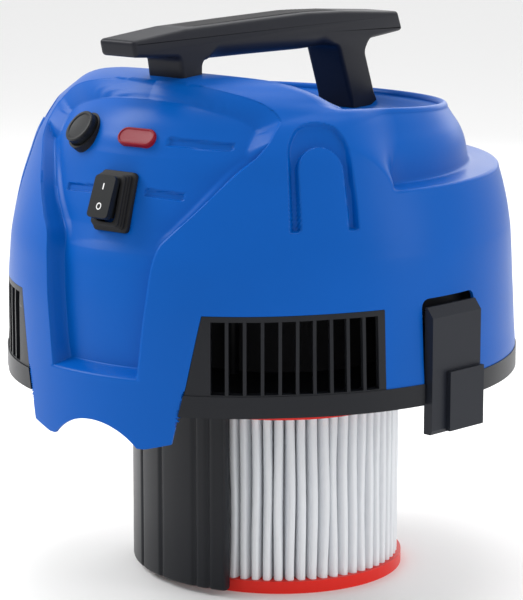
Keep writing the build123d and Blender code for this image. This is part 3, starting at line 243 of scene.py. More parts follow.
def moulded(name, colour, roughness, grain=0.00006, grain_scale=2600.0, coat=0.0, variation=0.06,
            specular=PLASTIC_SPECULAR):
    """Moulded plastic: fine spark-eroded grain, slightly uneven gloss and colour."""
    mat, shader = new_material(name, colour, roughness)
    shader.inputs["Specular IOR Level"].default_value = specular
    link = mat.node_tree.links.new
    fine = add_node(mat, "ShaderNodeTexNoise", Scale=grain_scale, Detail=2.0)
    broad = add_node(mat, "ShaderNodeTexNoise", Scale=14.0, Detail=3.0)
    uneven_surface(mat, shader, fine, broad, 0.25, grain, (roughness - 0.04, roughness + 0.05))
    shade = add_node(mat, "ShaderNodeMix", data_type="RGBA")
    for socket in shade.inputs:
        if socket.type == "RGBA" and socket.name == "A":
            socket.default_value = (*[c * (1 - variation) for c in colour], 1)
        if socket.type == "RGBA" and socket.name == "B":
            socket.default_value = (*[min(1.0, c * (1 + variation)) for c in colour], 1)
    link(broad.outputs["Fac"], shade.inputs["Factor"])
    link(next(s for s in shade.outputs if s.type == "RGBA"), shader.inputs["Base Color"])
    if coat:
        shader.inputs["Coat Weight"].default_value = coat
        shader.inputs["Coat Roughness"].default_value = 0.25
    return mat


def metal(name, colour, roughness, grain_scale=900.0):
    """Bare metal: uneven gloss, fine tool marks and a slight change of tone."""
    mat, shader = new_material(name, colour, roughness, 1.0)
    link = mat.node_tree.links.new
    fine = add_node(mat, "ShaderNodeTexNoise", Scale=grain_scale, Detail=4.0)
    broad = add_node(mat, "ShaderNodeTexNoise", Scale=30.0, Detail=4.0)
    uneven_surface(mat, shader, fine, broad, 0.2, TOOL_MARKS, (roughness - 0.1, roughness + 0.12))
    tone = add_node(mat, "ShaderNodeValToRGB")
    tone.color_ramp.elements[0].position = 0.3
    tone.color_ramp.elements[0].color = (*[c * 0.82 for c in colour], 1.0)
    tone.color_ramp.elements[1].position = 0.7
    tone.color_ramp.elements[1].color = (*colour, 1.0)
    link(broad.outputs["Fac"], tone.inputs["Fac"])
    link(tone.outputs["Color"], shader.inputs["Base Color"])
    return mat


BLUE = moulded("cover_blue", (0.0, 0.082, 0.38), 0.33, specular=0.12)
BLACK = moulded("housing_black", (0.009, 0.01, 0.013), 0.36)
BLACK_HANDLE = moulded("handle_black", (0.008, 0.009, 0.014), 0.42, grain=0.00012, grain_scale=1800.0)
BLACK_LATCH = moulded("latch_black", (0.012, 0.014, 0.02), 0.4, grain=0.0001, grain_scale=2000.0)
BLACK_SWITCH = moulded("switch_black", (0.008, 0.009, 0.01), 0.34)
RUBBER = moulded("seal_rubber", (0.011, 0.011, 0.012), 0.55)
GRIP = moulded("grip_rubber", (0.012, 0.012, 0.014), 0.62, grain=0.0002, grain_scale=1200.0)
RED = moulded("cap_red", (0.72, 0.02, 0.012), 0.38, coat=0.1)
BADGE_RED = moulded("badge_red", (0.2, 0.006, 0.016), 0.3, specular=0.12)
PAPER = moulded("filter_paper", (0.78, 0.8, 0.83), 0.85, grain=0.0002, grain_scale=900.0, variation=0.03)
WHITE = moulded("white_plastic", (0.72, 0.72, 0.7), 0.4)
FOAM = moulded("grey_foam", (0.03, 0.03, 0.033), 0.95, grain=0.0008, grain_scale=420.0)
DARK = moulded("inner_black", (0.01, 0.01, 0.011), 0.5)
STEEL = metal("plated_steel", (0.6, 0.6, 0.6), 0.32)
ALUMINIUM = metal("cast_aluminium", (0.7, 0.7, 0.72), 0.45, 500.0)
COPPER = metal("copper_wire", (0.55, 0.22, 0.1), 0.35)
BRASS = metal("brass_holder", (0.7, 0.5, 0.2), 0.3)
MARK_WHITE = moulded("mark_white", (0.8, 0.8, 0.8), 0.5)
SLOT_MATERIAL = {
    "blue_cover": BLUE, "black_housing": BLACK, "black_latch": BLACK_LATCH, "black_handle": BLACK_HANDLE,
    "soft_grip": GRIP, "seal_rubber": RUBBER, "steel_screws": STEEL, "red_cap": RED, "filter_paper": PAPER,
    "filter_core": WHITE, "float_white": WHITE, "plated_steel": STEEL, "cast_aluminium": ALUMINIUM,
    "inner_black": DARK, "bearing_steel": STEEL, "lamination_steel": STEEL, "copper_wire": COPPER,
    "brass_holder": BRASS, "carbon": DARK, "foam": FOAM, "black_switch": BLACK_SWITCH,
    "red_badge": BADGE_RED, "terminal_white": WHITE,
}


BEVELS = {  # node: width in millimetres
    "base_housing": 0.7, "latch_right": 1.3, "latch_left": 1.3, "filter_end_cap": 1.2,
    "cord_gland": 0.6, "rocker": 1.0, "button_guide": 0.4, "float_cage": 0.5,
}


def dress_cad_nodes():
    """Every CAD node that stays gets its slot's material; the outer ones get broken edges."""
    slots = {row["node"]: row["material_slot"] for row in frame["record"]["subparts"]}
    for name, obj in NODES.items():
        material = SLOT_MATERIAL[slots[name]]
        if obj.material_slots:
            for place in obj.material_slots:
                place.material = material
        else:
            obj.data.materials.append(material)
        if name in BEVELS:
            bevel = obj.modifiers.new("broken_edges", "BEVEL")
            bevel.width = BEVELS[name] * MM
            bevel.segments = 3
            bevel.limit_method = "ANGLE"
            bevel.angle_limit = math.radians(35)
            bevel.harden_normals = False


# ---- the blue cover ----
SIDE = rounded_curve(SIDE_PROFILE)
FRONT = rounded_curve(CREST_PROFILE)
FLOOR = np.array(FLOOR_PROFILE)
LEDGE = rounded_curve(LEDGE_CURVE)
COLLAR = rounded_curve(COLLAR_CURVE)


def crest_reach(phi, z, profile=None):
    """Distance from the body's middle to the forward round shape, seen at an angle."""
    ahead = BODY_Y - CREST_Y
    r = lookup(z, FRONT if profile is None else profile, 1, 0)
    around = np.radians(np.clip(np.abs(phi), 0, 89))
    return ahead * np.cos(around) + np.sqrt(np.maximum(r * r - (ahead * np.sin(around)) ** 2, 1.0))


def dome_radius(phi, z):
    plain = lookup(z, SIDE, 1, 0)
    full = soft_max(plain, crest_reach(phi, z), CREST_BLEND)
    return mix(full, plain, ease((np.abs(phi) - CREST_FADE_FROM) / CREST_FADE))


def dome_height(phi, r):
    around = np.radians(phi)
    x, y = r * np.sin(around), BODY_Y - r * np.cos(around)
    crest = lookup(np.hypot(x, y - CREST_Y), FRONT)
    plain = lookup(r, SIDE)
    full = soft_max(plain, crest, CREST_BLEND)
    return mix(full, plain, ease((np.abs(phi) - CREST_FADE_FROM) / CREST_FADE))


def rim_height(y):
    return RIM_Z - RIM_SLOPE * (y - BODY_Y)


def crest_top(phi, r):
    """The front crest, falling away behind its ridge into the bowl."""
    y = BODY_Y - r * np.cos(np.radians(phi))
    return dome_height(phi, r) - RAMP_DROP * ease((y - RAMP_HIGH_Y) / (RAMP_LOW_Y - RAMP_HIGH_Y))


def front_shoulder(phi, r):
    """The front's top outside the bowl: the falling crest, but never below the bowl's rim."""
    y = BODY_Y - r * np.cos(np.radians(phi))
    rim = soft_min(dome_height(phi, r), rim_height(y), RIM_BLEND)
    crest = crest_top(phi, r)
    held = soft_max(crest, rim, SHOULDER_BLEND)
    return mix(crest, held, ease((np.abs(phi) - SHOULDER_FROM) / SHOULDER_FADE))


def top_height(phi, r, rim_r):
    y = BODY_Y - r * np.cos(np.radians(phi))
    up = ease((r - BOWL_FOOT_R) / (rim_r - BOWL_FOOT_R)) ** BOWL_STEEP
    wall = mix(BOWL_FLOOR, rim_height(y) - RIM_ROUND_HIGH, up)
    return soft_max(wall, crest_top(phi, r), RIM_BLEND)


def rear_share(phi, s):
    """How far the cover has stepped in to the rear collar: crisp at the ledge, soft above it."""
    up = np.clip(s - 2.0, 0.0, 1.0)
    start = mix(*COLLAR_START, ease(up))
    end = mix(*COLLAR_FULL, ease(up))
    return ease((np.abs(phi) - start) / (end - start))


def cover_base(phi, s):
    """Radius and height of the cover before its features. s runs 0-1 up the side, 1-2 over
    the ledge, 2-3 up the collar, 3-4 over the rim and 4-5 in to the middle."""
    u = s - np.floor(s)
    u = np.where(s >= 5.0, 1.0, u)
    cos = np.cos(np.radians(phi))
    rim = rim_height(BODY_Y - RIM_R * cos)
    side_z = mix(SIDE_LOW, SIDE_TOP, np.clip(s, 0, 1))
    side_r = dome_radius(phi, side_z)
    # ledge
    step = np.linspace(0, 1, len(LEDGE))
    ledge_r = np.interp(u, step, LEDGE[:, 0])
    ledge_z = np.interp(u, step, LEDGE[:, 1])
    plain_z = mix(SIDE_TOP, COLLAR_LOW, u)
    plain_r = dome_radius(phi, plain_z)
    # collar
    collar_z = mix(COLLAR_LOW, rim - RIM_ROUND_HIGH, u)
    collar_r = lookup(collar_z, COLLAR, 1, 0)
    dome_z = mix(COLLAR_LOW, COLLAR_HIGH, u)
    dome_r = dome_radius(phi, dome_z)
    # rim
    edge = lookup(rim - RIM_ROUND_HIGH, COLLAR, 1, 0)
    turn = np.pi * u
    round_r = edge - RIM_ROUND_WIDE + RIM_ROUND_WIDE * np.cos(turn)
    round_z = rim - RIM_ROUND_HIGH + RIM_ROUND_HIGH * np.sin(turn)
    start_r = dome_radius(phi, np.full_like(phi, COLLAR_HIGH))
    over_r = mix(start_r, INNER_R, u)
    over_z = front_shoulder(phi, over_r)
    mend = COLLAR_HIGH - front_shoulder(phi, start_r)
    over_z = over_z + mend * (1.0 - ease(u * 1.6))
    # inside
    share_end = rear_share(phi, np.full_like(phi, 4.0))
    rim_r = mix(INNER_R, edge - 2 * RIM_ROUND_WIDE, share_end)
    in_r = rim_r * (1.0 - u)
    in_z = top_height(phi, in_r, rim_r)
    inner = np.full_like(phi, INNER_R)
    edge_z = mix(front_shoulder(phi, inner), rim - RIM_ROUND_HIGH, share_end)
    in_z = in_z + (edge_z - top_height(phi, rim_r, rim_r)) * (1.0 - ease(u * 4.0))
    share = rear_share(phi, s)
    spans = [s < 1, s < 2, s < 3, s < 4]
    r_on = [side_r, mix(plain_r, ledge_r, share), mix(dome_r, collar_r, share), mix(over_r, round_r, share)]
    z_on = [side_z, mix(plain_z, ledge_z, share), mix(dome_z, collar_z, share), mix(over_z, round_z, share)]
    return np.select(spans, r_on, in_r), np.select(spans, z_on, in_z)


def base_point(phi, s):
    r, z = cover_base(phi, s)
    around = np.radians(phi)
    return np.stack([r * np.sin(around), BODY_Y - r * np.cos(around), z], -1)


def normals_of(point, phi, s):
    """Outward normals of a surface given as point(phi, s)."""
    dp, ds = 0.12, 0.004
    s0, s1 = np.clip(s - ds, 0, 4.99), np.clip(s + ds, 0, 4.99)
    along = point(phi + dp, s) - point(phi - dp, s)
    rise = point(phi, s1) - point(phi, s0)
    n = np.cross(along, rise)
    length = np.linalg.norm(n, axis=-1, keepdims=True)
    n = np.where(length > 1e-9, n / np.maximum(length, 1e-9), np.array([0.0, 0.0, 1.0]))
    return n


def line_distance(x, t, line):
    """Distance to an open line of points."""
    best = np.full(x.shape, 1e9)
    for (x0, t0), (x1, t1) in zip(line[:-1], line[1:]):
        dx, dt = x1 - x0, t1 - t0
        k = np.clip(((x - x0) * dx + (t - t0) * dt) / (dx * dx + dt * dt + 1e-12), 0, 1)
        best = np.minimum(best, np.hypot(x - x0 - k * dx, t - t0 - k * dt))
    return best


def polygon_distance(x, t, outline):
    """Distance to a closed outline, positive inside."""
    best = line_distance(x, t, np.vstack([outline, outline[:1]]))
    inside = np.zeros(x.shape, bool)
    for (x0, t0), (x1, t1) in zip(outline, np.roll(outline, -1, 0)):
        crosses = (t0 > t) != (t1 > t)
        with np.errstate(divide="ignore", invalid="ignore"):
            at = (x1 - x0) * (t - t0) / (t1 - t0) + x0
        inside ^= crosses & (x < at)
    return np.where(inside, best, -best)


S_GRID = np.linspace(0, 4.999, 4000)
LINE_PHI = 20.0               # the cover's length is measured up this line, in degrees off the front
RISING = 3100                 # the line gains height over its points up to this one
CLOSING = 2400                # and comes nearer to the middle from this one on
LINE = base_point(np.full_like(S_GRID, LINE_PHI), S_GRID)
LINE_LENGTH = np.concatenate([[0], np.cumsum(np.linalg.norm(np.diff(LINE, axis=0), axis=1))])


def run_at(s):
    return np.interp(s, S_GRID, LINE_LENGTH)


def run_at_height(z):
    return np.interp(z, LINE[:RISING, 2], LINE_LENGTH[:RISING])


def run_at_radius(r):
    line_r = np.hypot(LINE[:, 0], LINE[:, 1] - BODY_Y)
    return np.interp(-r, -line_r[CLOSING:], LINE_LENGTH[CLOSING:])


def panel_lines():
    """The panel's outline in x and run: its top edge apart from its sides and foot."""
    side = np.array([(x, run_at_height(z)) for x, z in PANEL_SIDE])
    side = np.vstack([side[:1], rounded_curve(side[1:], 6)])
    top = rounded_curve([side[-1]] + [(x, run_at_radius(r)) for x, r in PANEL_CORNERS], 6)
    mirror = np.array([-1, 1])
    top = np.vstack([top, (top * mirror)[::-1][1:]])
    foot = np.vstack([(side * mirror)[::-1], side])
    return top, foot


PANEL_TOP_LINE, PANEL_FOOT_LINE = panel_lines()
PANEL = np.vstack([PANEL_FOOT_LINE, PANEL_TOP_LINE[1:-1]])
PANEL_FOOT = run_at_height(182.0)
DEEPEN_MOST = 7.0             # most that the floor goes back below the fuller front
DEEPEN_FROM = (255.0, 35.0)   # height from which it does so fully, and over what height
DEEPEN_END = (336.0, 13.0)
KINK_FROM = 268.0             # the floor tilts back a little more above this height
KINK_MOST = 1.4
FLOOR_SLOPE = ([260.0, 300.0, 320.0, 340.0, 350.0], [1.0, 0.95, 0.9, 0.8, 0.72])
SLOT_DEPTH = 2.0
SLOT_MARKS = [  # middle x, height, width, height, slope
    (-41.5, 308.2, 33.0, 5.0, 0.09), (39.3, 310.3, 31.0, 5.0, -0.07), (55.5, 343.2, 45.0, 5.4, -0.05),
]


def ramp_rounded(t, soft):
    """A straight ramp from 0 to 1 with rounded ends."""
    low = soft_max(t, np.zeros_like(t), soft)
    return soft_min(low, np.ones_like(t), soft)


def rounded_box_distance(qx, qz, corner):
    """Distance to a box with rounded corners, from how far a point is past its straight sides."""
    return np.hypot(np.maximum(qx, 0), np.maximum(qz, 0)) + np.minimum(np.maximum(qx, qz), 0) - corner


def wall_width(run):
    """Width of the panel's side wall: wider at its foot."""
    return mix(PANEL_LOW_WALL, PANEL_WALL, ease((run - PANEL_FOOT) / 16.0))


def slot_depth(x, run):
    """The shallow marks in the panel."""
    corner = 1.0
    press = np.zeros(x.shape)
    for middle, high, width, height, slope in SLOT_MARKS:
        qx = np.abs(x - middle) - width / 2 + corner
        qz = np.abs(run - run_at_height(high) - slope * (x - middle)) - height / 2 + corner
        press += SLOT_DEPTH * ramp_rounded(0.5 - rounded_box_distance(qx, qz, corner) / 0.9, 0.3)
    return press


def panel_depth(phi, s, x, run, z):
    """The front panel: a sloped wall all round, and a floor that follows a plainer dome."""
    inside = polygon_distance(x, run, PANEL)
    from_top = np.sign(inside) * line_distance(x, run, PANEL_TOP_LINE)
    from_side = np.sign(inside) * line_distance(x, run, PANEL_FOOT_LINE)
    plain = soft_max(lookup(z, SIDE, 1, 0), crest_reach(phi, z, FLOOR), CREST_BLEND)
    bulge = dome_radius(phi, z) - plain
    deepen = mix(0.5, 1.0, ease((z - DEEPEN_FROM[0]) / DEEPEN_FROM[1])) * np.interp(z, *FLOOR_SLOPE)
    deepen = deepen * (1 - ease((z - DEEPEN_END[0]) / DEEPEN_END[1]))
    full = PANEL_DEPTH + np.where(s < 3.0, np.clip(bulge, 0, DEEPEN_MOST) * deepen, 0.0)
    top_wall = ramp_rounded(from_top / PANEL_BAND, 0.08)
    side_wall = ramp_rounded(from_side / wall_width(run), 0.16)
    press = full * np.minimum(top_wall, side_wall)
    kink = np.minimum(np.maximum(run - run_at_height(KINK_FROM), 0.0) * 0.08, KINK_MOST)
    below_top = ease((run_at_height(345.0) - run) / 40.0)
    press += kink * ease(from_side / 6 - 0.6) * below_top * (inside > 0)
    return press


def groove_depth(phi, run):
    """The arched groove on each side, scooped out deeper at its top."""
    t = np.radians(np.abs(phi) - GROOVE_PHI) * GROOVE_R
    v = run - run_at_height(GROOVE_FOOT)
    out_high = run_at_height(GROOVE_OUT_TOP) - run_at_height(GROOVE_FOOT)
    in_high = run_at_height(GROOVE_IN_TOP) - run_at_height(GROOVE_FOOT)

    def arch(half, high):
        top = high - half * GROOVE_TALL
        return half - np.hypot(t, np.maximum(v - top, 0) / GROOVE_TALL)
    outer = arch(GROOVE_OUT, out_high)
    inner = arch(GROOVE_IN, in_high)
    into = np.minimum(outer, v + 1.5)
    press = ramp_rounded(into / 1.7, 0.25) * (1.0 - ramp_rounded((inner + 0.2) / 1.5, 0.25))
    scoop = ease((v - in_high * 0.5) / (out_high - in_high * 0.5))
    span = np.clip(outer / np.maximum(outer - inner, 1e-6), 0, 1)
    press *= mix(1.0, 0.35 + 0.65 * span, scoop)
    return GROOVE_DEPTH * press * mix(1.0, GROOVE_SCOOP, scoop)


def feature_depth(phi, s):
    """How far the surface is pressed in below the plain dome."""
    p = base_point(phi, s)
    x, z = p[..., 0], p[..., 2]
    run = run_at(s)
    depth = np.zeros(x.shape)
    front = (np.abs(phi) < PANEL_REACH) & (s < 4.3)
    if front.any():
        xf, rf = x[front], run[front]
        depth[front] = panel_depth(phi[front], s[front], xf, rf, z[front]) + slot_depth(xf, rf)
    side = (np.abs(np.abs(phi) - GROOVE_PHI) < GROOVE_REACH) & (s > 0.6) & (s < 4.0)
    if side.any():
        depth[side] += groove_depth(phi[side], run[side])
    return depth


def cover_point(phi, s):
    base = base_point(phi, s)
    return base - normals_of(base_point, phi, s) * feature_depth(phi, s)[..., None]


def tongue_edge_x(z):
    edge = np.array(TONGUE_EDGE)
    return np.interp(z, edge[:, 1], edge[:, 0])


def keep_value(phi, s):
    """Positive where the cover has material: openings, latch cut-outs and lower edge."""
    r, z = cover_base(phi, s)
    around = np.abs(phi)
    x = np.abs(r * np.sin(np.radians(phi)))
    front = around < 90
    past_edge = np.where(front, (x - tongue_edge_x(z)) * TONGUE_SLANT, 200.0)
    corner_from, corner_to, corner_rise = TONGUE_CORNER
    lower = TONGUE_BOTTOM + corner_rise * np.clip((x - corner_from) / (corner_to - corner_from), 0, 1)
    tongue = np.minimum(-past_edge, (z - lower) * TONGUE_SLANT)
    body = np.maximum(z - RING_TOP, tongue)
    vent = np.minimum(np.minimum(past_edge, VENT_TOP - z), np.radians(VENT_END - around) * r)
    t = np.abs(np.radians(around - LATCH_PHI) * r)
    qx, qz = t - LATCH_CUT_HALF + LATCH_CUT_ROUND, z - LATCH_CUT_TOP + LATCH_CUT_ROUND
    latch = -rounded_box_distance(qx, qz, LATCH_CUT_ROUND)
    arch_r = (ARCH_HALF**2 + ARCH_RISE**2) / (2 * ARCH_RISE)
    arch = np.where(front, arch_r - np.hypot(x, z - (TONGUE_BOTTOM + ARCH_RISE - arch_r)), -50.0)
    return np.minimum(np.minimum(body, -vent), np.minimum(-latch, -arch))


def snap(phi, s, value, active, reach=0.5):
    """Moves the grid points nearest to value = 0 onto it, so that edges run cleanly."""
    per_phi = np.radians(1.0) * np.maximum(cover_base(phi, s)[0], 60.0)
    per_s = (run_at(s + 0.01) - run_at(s - 0.01)) / 0.02
    cell_phi = np.abs(np.gradient(phi, axis=1)) * per_phi
    cell_s = np.abs(np.gradient(s, axis=0)) * per_s
    near = None
    step_phi, step_s = 0.02, 0.0008
    for _ in range(3):
        f = value(phi, s)
        gx = (value(phi + step_phi, s) - value(phi - step_phi, s)) / (2 * step_phi * per_phi)
        gz = (value(phi, s + step_s) - value(phi, s - step_s)) / (2 * step_s * per_s)
        size = np.maximum(np.hypot(gx, gz), 0.4)
        if near is None:
            cell = reach * (np.abs(gx) * cell_phi + np.abs(gz) * cell_s) / size
            near = active & (np.abs(f) / size < cell)
        phi = np.where(near, phi - f * gx / size**2 / per_phi, phi)
        s = np.where(near, s - f * gz / size**2 / per_s, s)
    return phi, s, near


def hole_value(phi, s):
    """Positive outside the hole that the round button moves in."""
    origin, x_dir, y_dir, _ = local_frame(*BUTTON)
    away = cover_point(phi, s) - origin
    return np.hypot(away @ x_dir, away @ y_dir) - BUTTON_HOLE_R


def snap_all(phi, s):
    phi, s, taken = snap(phi, s, keep_value, s < 1.0)

    def outline(a, b):
        return polygon_distance(base_point(a, b)[..., 0], run_at(b), PANEL)

    def wall_foot(a, b):
        x, run = base_point(a, b)[..., 0], run_at(b)
        sign = np.sign(polygon_distance(x, run, PANEL))
        side = sign * line_distance(x, run, PANEL_FOOT_LINE) - wall_width(run)
        top = sign * line_distance(x, run, PANEL_TOP_LINE) - PANEL_BAND
        return np.minimum(side, top)

    x, run = base_point(phi, s)[..., 0], run_at(s)
    by_side = line_distance(x, run, PANEL_FOOT_LINE) < 0.8 * line_distance(x, run, PANEL_TOP_LINE)
    held = by_side & (s > 0.3) & (s < 3.0)
    front = (np.abs(phi) < PANEL_REACH) & (s < 4.25) & (s > 0.25) & ~held
    columns = np.any(front, axis=0)
    rows = np.any(front, axis=1)
    box = np.ix_(rows, columns)
    part_phi, part_s, used = snap(phi[box], s[box], outline, front[box] & ~taken[box])
    near_hole = front[box] & (np.abs(hole_value(part_phi, part_s)) < 8.0)
    free = front[box] & ~taken[box] & ~used & ~near_hole
    part_phi, part_s, _ = snap(part_phi, part_s, wall_foot, free)
    part_phi, part_s, _ = snap(part_phi, part_s, hole_value, near_hole)
    phi[box], s[box] = part_phi, part_s
    return phi, s


def cover_grid():
    """Columns all round and rows from the lower edge to the middle of the bowl, close where it has detail."""
    half = np.concatenate([np.arange(0, 66, 0.4), np.arange(66, 96, 0.6), np.arange(96, 180, 1.2)])
    columns = np.concatenate([-half[::-1], half[1:], [180.0]])
    columns = columns[columns > -180.0 + 0.3]
    lower = (RING_TOP - SIDE_LOW) / (SIDE_TOP - SIDE_LOW)
    vent = (VENT_TOP + 3.0 - SIDE_LOW) / (SIDE_TOP - SIDE_LOW)
    spans = [(0, lower, 34), (lower, vent, 46), (vent, 1, 52), (1, 2, 15), (2, 3, 38), (3, 4, 34)]
    rows = [np.linspace(*span)[:-1] for span in spans]
    rows = np.concatenate(rows + [np.linspace(4, 4.96, 36)])
    phi, s = np.meshgrid(columns, rows)
    return phi.astype(float), s.astype(float)


WARP_FOOT = 24.8              # the column, in degrees, that is laid along the side wall's foot
WARP_EDGE = 26.0              # the one laid along its top
WARP_END = 60.0               # columns past this one stay where they are


def follow_panel(phi, s):
    """Slides the columns sideways so that two of them run along each side of the panel."""
    right = PANEL_FOOT_LINE[len(PANEL_FOOT_LINE) // 2:]
    edge_x = np.interp(run_at(s[:, 0]), right[:, 1], right[:, 0])
    height = s[:, 0]
    hold = ease((height - 0.12) / 0.16) * (1 - ease((height - 3.05) / 0.6))
    out = phi.copy()
    for i in range(len(phi)):
        r = cover_base(np.array([LINE_PHI]), np.array([height[i]]))[0][0]
        for _ in range(3):
            turn = math.degrees(math.asin(min(edge_x[i] / r, 0.9)))
            r = cover_base(np.array([turn]), np.array([height[i]]))[0][0]
        wall = math.degrees(PANEL_WALL / r) / math.cos(math.radians(turn))
        edge = mix(WARP_EDGE, turn, hold[i])
        foot = mix(WARP_FOOT, turn - wall, hold[i])
        nominal = [0, WARP_FOOT, WARP_EDGE, WARP_END, 180]
        side = np.interp(np.abs(phi[i]), nominal, [0, foot, edge, WARP_END, 180])
        out[i] = np.sign(phi[i]) * side
    return out


def edge_walls(faces, outer, inner, first):
    """Flat walls from the outer to the inner sheet, round every edge of the faces."""
    pairs = {pair for a, b, c, d in faces.tolist() for pair in ((a, b), (b, c), (c, d), (d, a))}
    walls, verts, normals = [], [], []
    for i, j in sorted(pair for pair in pairs if pair[::-1] not in pairs):
        corners = [outer[j], outer[i], inner[i], inner[j]]
        n = np.cross(corners[1] - corners[0], corners[3] - corners[0])
        n = n / max(np.linalg.norm(n), 1e-9)
        start = first + len(verts)
        walls.append((start, start + 1, start + 2, start + 3))
        verts += corners
        normals += [n] * 4
    return walls, np.array(verts), np.array(normals)


def cover_sheets():
    """Grids of points and normals, outside and inside, and which cells have material."""
    phi, s = cover_grid()
    phi = follow_panel(phi, s)
    phi, s = snap_all(phi, s)
    outer = cover_point(phi, s)
    outer_n = normals_of(cover_point, phi, s)
    base_n = normals_of(base_point, phi, s)
    inner = outer - base_n * SHELL
    keep = keep_value(phi, s)
    near_button = (np.abs(phi) < 40) & (s < 4.2)
    keep = np.where(s > 1.0, np.where(near_button, hole_value(phi, s), 5.0), keep)
    around = np.roll(np.arange(phi.shape[1]), -1)
    cells = (keep[:-1] + keep[1:] + keep[:-1][:, around] + keep[1:][:, around]) / 4 > 0.05
    return outer, outer_n, inner, -base_n, cells


def make_cover():
    outer, outer_n, inner, inner_n, cells = cover_sheets()
    rows, cols = outer.shape[:2]
    around = np.roll(np.arange(cols), -1)
    index = np.arange(rows * cols).reshape(rows, cols)
    a, b = index[:-1][cells], index[:-1][:, around][cells]
    c, d = index[1:][:, around][cells], index[1:][cells]
    outer_faces = np.stack([a, b, c, d], 1)
    inner_faces = outer_faces[:, ::-1] + rows * cols
    outer, outer_n, inner, inner_n = (g.reshape(-1, 3) for g in (outer, outer_n, inner, inner_n))
    sheets = 2 * rows * cols
    walls, wall_verts, wall_normals = edge_walls(outer_faces, outer, inner, sheets)
    faces = [tuple(q) for q in outer_faces.tolist()] + [tuple(q) for q in inner_faces.tolist()] + walls
    # close the small hole in the middle of the bowl
    top = [int(k) for k in index[-1]]
    faces.append(tuple(top))
    faces.append(tuple(k + rows * cols for k in reversed(top)))
    points = np.vstack([outer, inner, wall_verts]) * MM
    normals = np.vstack([outer_n, inner_n, wall_normals])
    used = np.zeros(len(points), bool)
    used[outer_faces.ravel()] = True
    used[inner_faces.ravel()] = True
    used[sheets:] = True
    renumber = np.cumsum(used) - 1
    faces = [tuple(int(renumber[k]) for k in face) for face in faces]
    obj = new_object("cover_shell", points[used].tolist(), faces, "frame", BLUE)
    obj.data.normals_split_custom_set_from_vertices(normals[used].tolist())
    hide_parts("top_cover")


# ---- shared builders for the smaller pieces ----
def local_frame(phi, radius, height, tilt):
    """Origin and x, y, z directions of a plane on the round body."""
    around, lift = math.radians(phi), math.radians(tilt)
    origin = np.array([radius * math.sin(around), BODY_Y - radius * math.cos(around), height])
    x_dir = np.array([math.cos(around), math.sin(around), 0.0])
    z_dir = np.array([math.sin(around) * math.cos(lift), -math.cos(around) * math.cos(lift), math.sin(lift)])
    return origin, x_dir, np.cross(z_dir, x_dir), z_dir


def place(points, plane):
    origin, x_dir, y_dir, z_dir = plane
    p = np.asarray(points, float)
    return (origin + p[:, :1] * x_dir + p[:, 1:2] * y_dir + p[:, 2:3] * z_dir) * MM


def loft(name, rings, body, material, cap_start=True, cap_end=True):
    """Joins rings of points, each with the same count, into one skin."""
    count = len(rings[0])
    verts = np.vstack(rings)
    faces = []
    for i in range(len(rings) - 1):
        for j in range(count):
            k = (j + 1) % count
            faces.append((i * count + j, i * count + k, (i + 1) * count + k, (i + 1) * count + j))
    if cap_start:
        faces.append(tuple(range(count))[::-1])
    if cap_end:
        faces.append(tuple((len(rings) - 1) * count + j for j in range(count)))
    obj = new_object(name, verts, faces, body, material)
    for cap in obj.data.polygons[(len(rings) - 1) * count:]:
        cap.use_smooth = False
    obj.data.set_sharp_from_angle(angle=math.radians(38))
    return obj


def rounded_rect(half_w, half_h, corner, height, per_corner=8):
    points = []
    for cx, cy, start in ((1, 1, 0), (-1, 1, 90), (-1, -1, 180), (1, -1, 270)):
        for k in range(per_corner):
            turn = math.radians(start + 90.0 * k / (per_corner - 1))
            points.append((cx * (half_w - corner) + corner * math.cos(turn),
                           cy * (half_h - corner) + corner * math.sin(turn), height))
    return np.array(points)


def circle(radius, height, count=72, flutes=0, depth=0.0):
    turn = np.linspace(0, 2 * math.pi, count, endpoint=False)
    r = radius - depth * (0.5 + 0.5 * np.cos(flutes * turn))
    return np.stack([r * np.cos(turn), r * np.sin(turn), np.full(count, height)], 1)


# ---- the filter's pleated paper ----
PLEATS = 64
PLEAT_STEPS = 14
PLEAT_OUT = 88.5
PLEAT_IN = 76.0
PAPER_T = 0.8
MEDIA_LOW = 8.9
MEDIA_HIGH = 153.1
MEDIA_LEVELS = 15
PLEAT_LEAN = 0.1              # spread of the pleats' sideways lean, in pleats
PLEAT_UNEVEN = 0.45           # spread of how far they stand out
PLEAT_FLATNESS = 4.0          # higher gives a broader, flatter tip
PLEAT_SEED = 7


def make_media():
    """Pleated paper, each pleat leaning and standing out a little differently."""
    rng = np.random.default_rng(PLEAT_SEED)
    count = PLEATS * PLEAT_STEPS
    step = np.arange(count)
    pleat, t = step // PLEAT_STEPS, (step % PLEAT_STEPS) / PLEAT_STEPS
    lean = rng.normal(0, PLEAT_LEAN, PLEATS)[pleat]
    reach = rng.normal(0, PLEAT_UNEVEN, PLEATS)[pleat]
    sway = rng.uniform(0, 6.28, PLEATS)[pleat]
    rings, inner = [], []
    for k, z in enumerate(np.linspace(MEDIA_LOW, MEDIA_HIGH, MEDIA_LEVELS)):
        share = k / (MEDIA_LEVELS - 1)
        hold = math.sin(math.pi * share)
        tip = 1.0 - np.abs(2 * t - 1) ** PLEAT_FLATNESS
        turn = 2 * math.pi * (pleat + t) / PLEATS
        drift = (lean * hold + 0.1 * hold * np.sin(5 * share + sway)) * tip
        turn = turn + drift * 2 * math.pi / PLEATS
        for group, thin in ((rings, 0.0), (inner, PAPER_T)):
            r = PLEAT_IN - thin + (PLEAT_OUT + reach * hold - PLEAT_IN) * tip
            group.append(np.stack([r * np.cos(turn), r * np.sin(turn), np.full(count, z)], 1) * MM)
    obj = loft("pleated_paper", rings + inner[::-1], "filter", PAPER, False, False)
    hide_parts("filter_media")


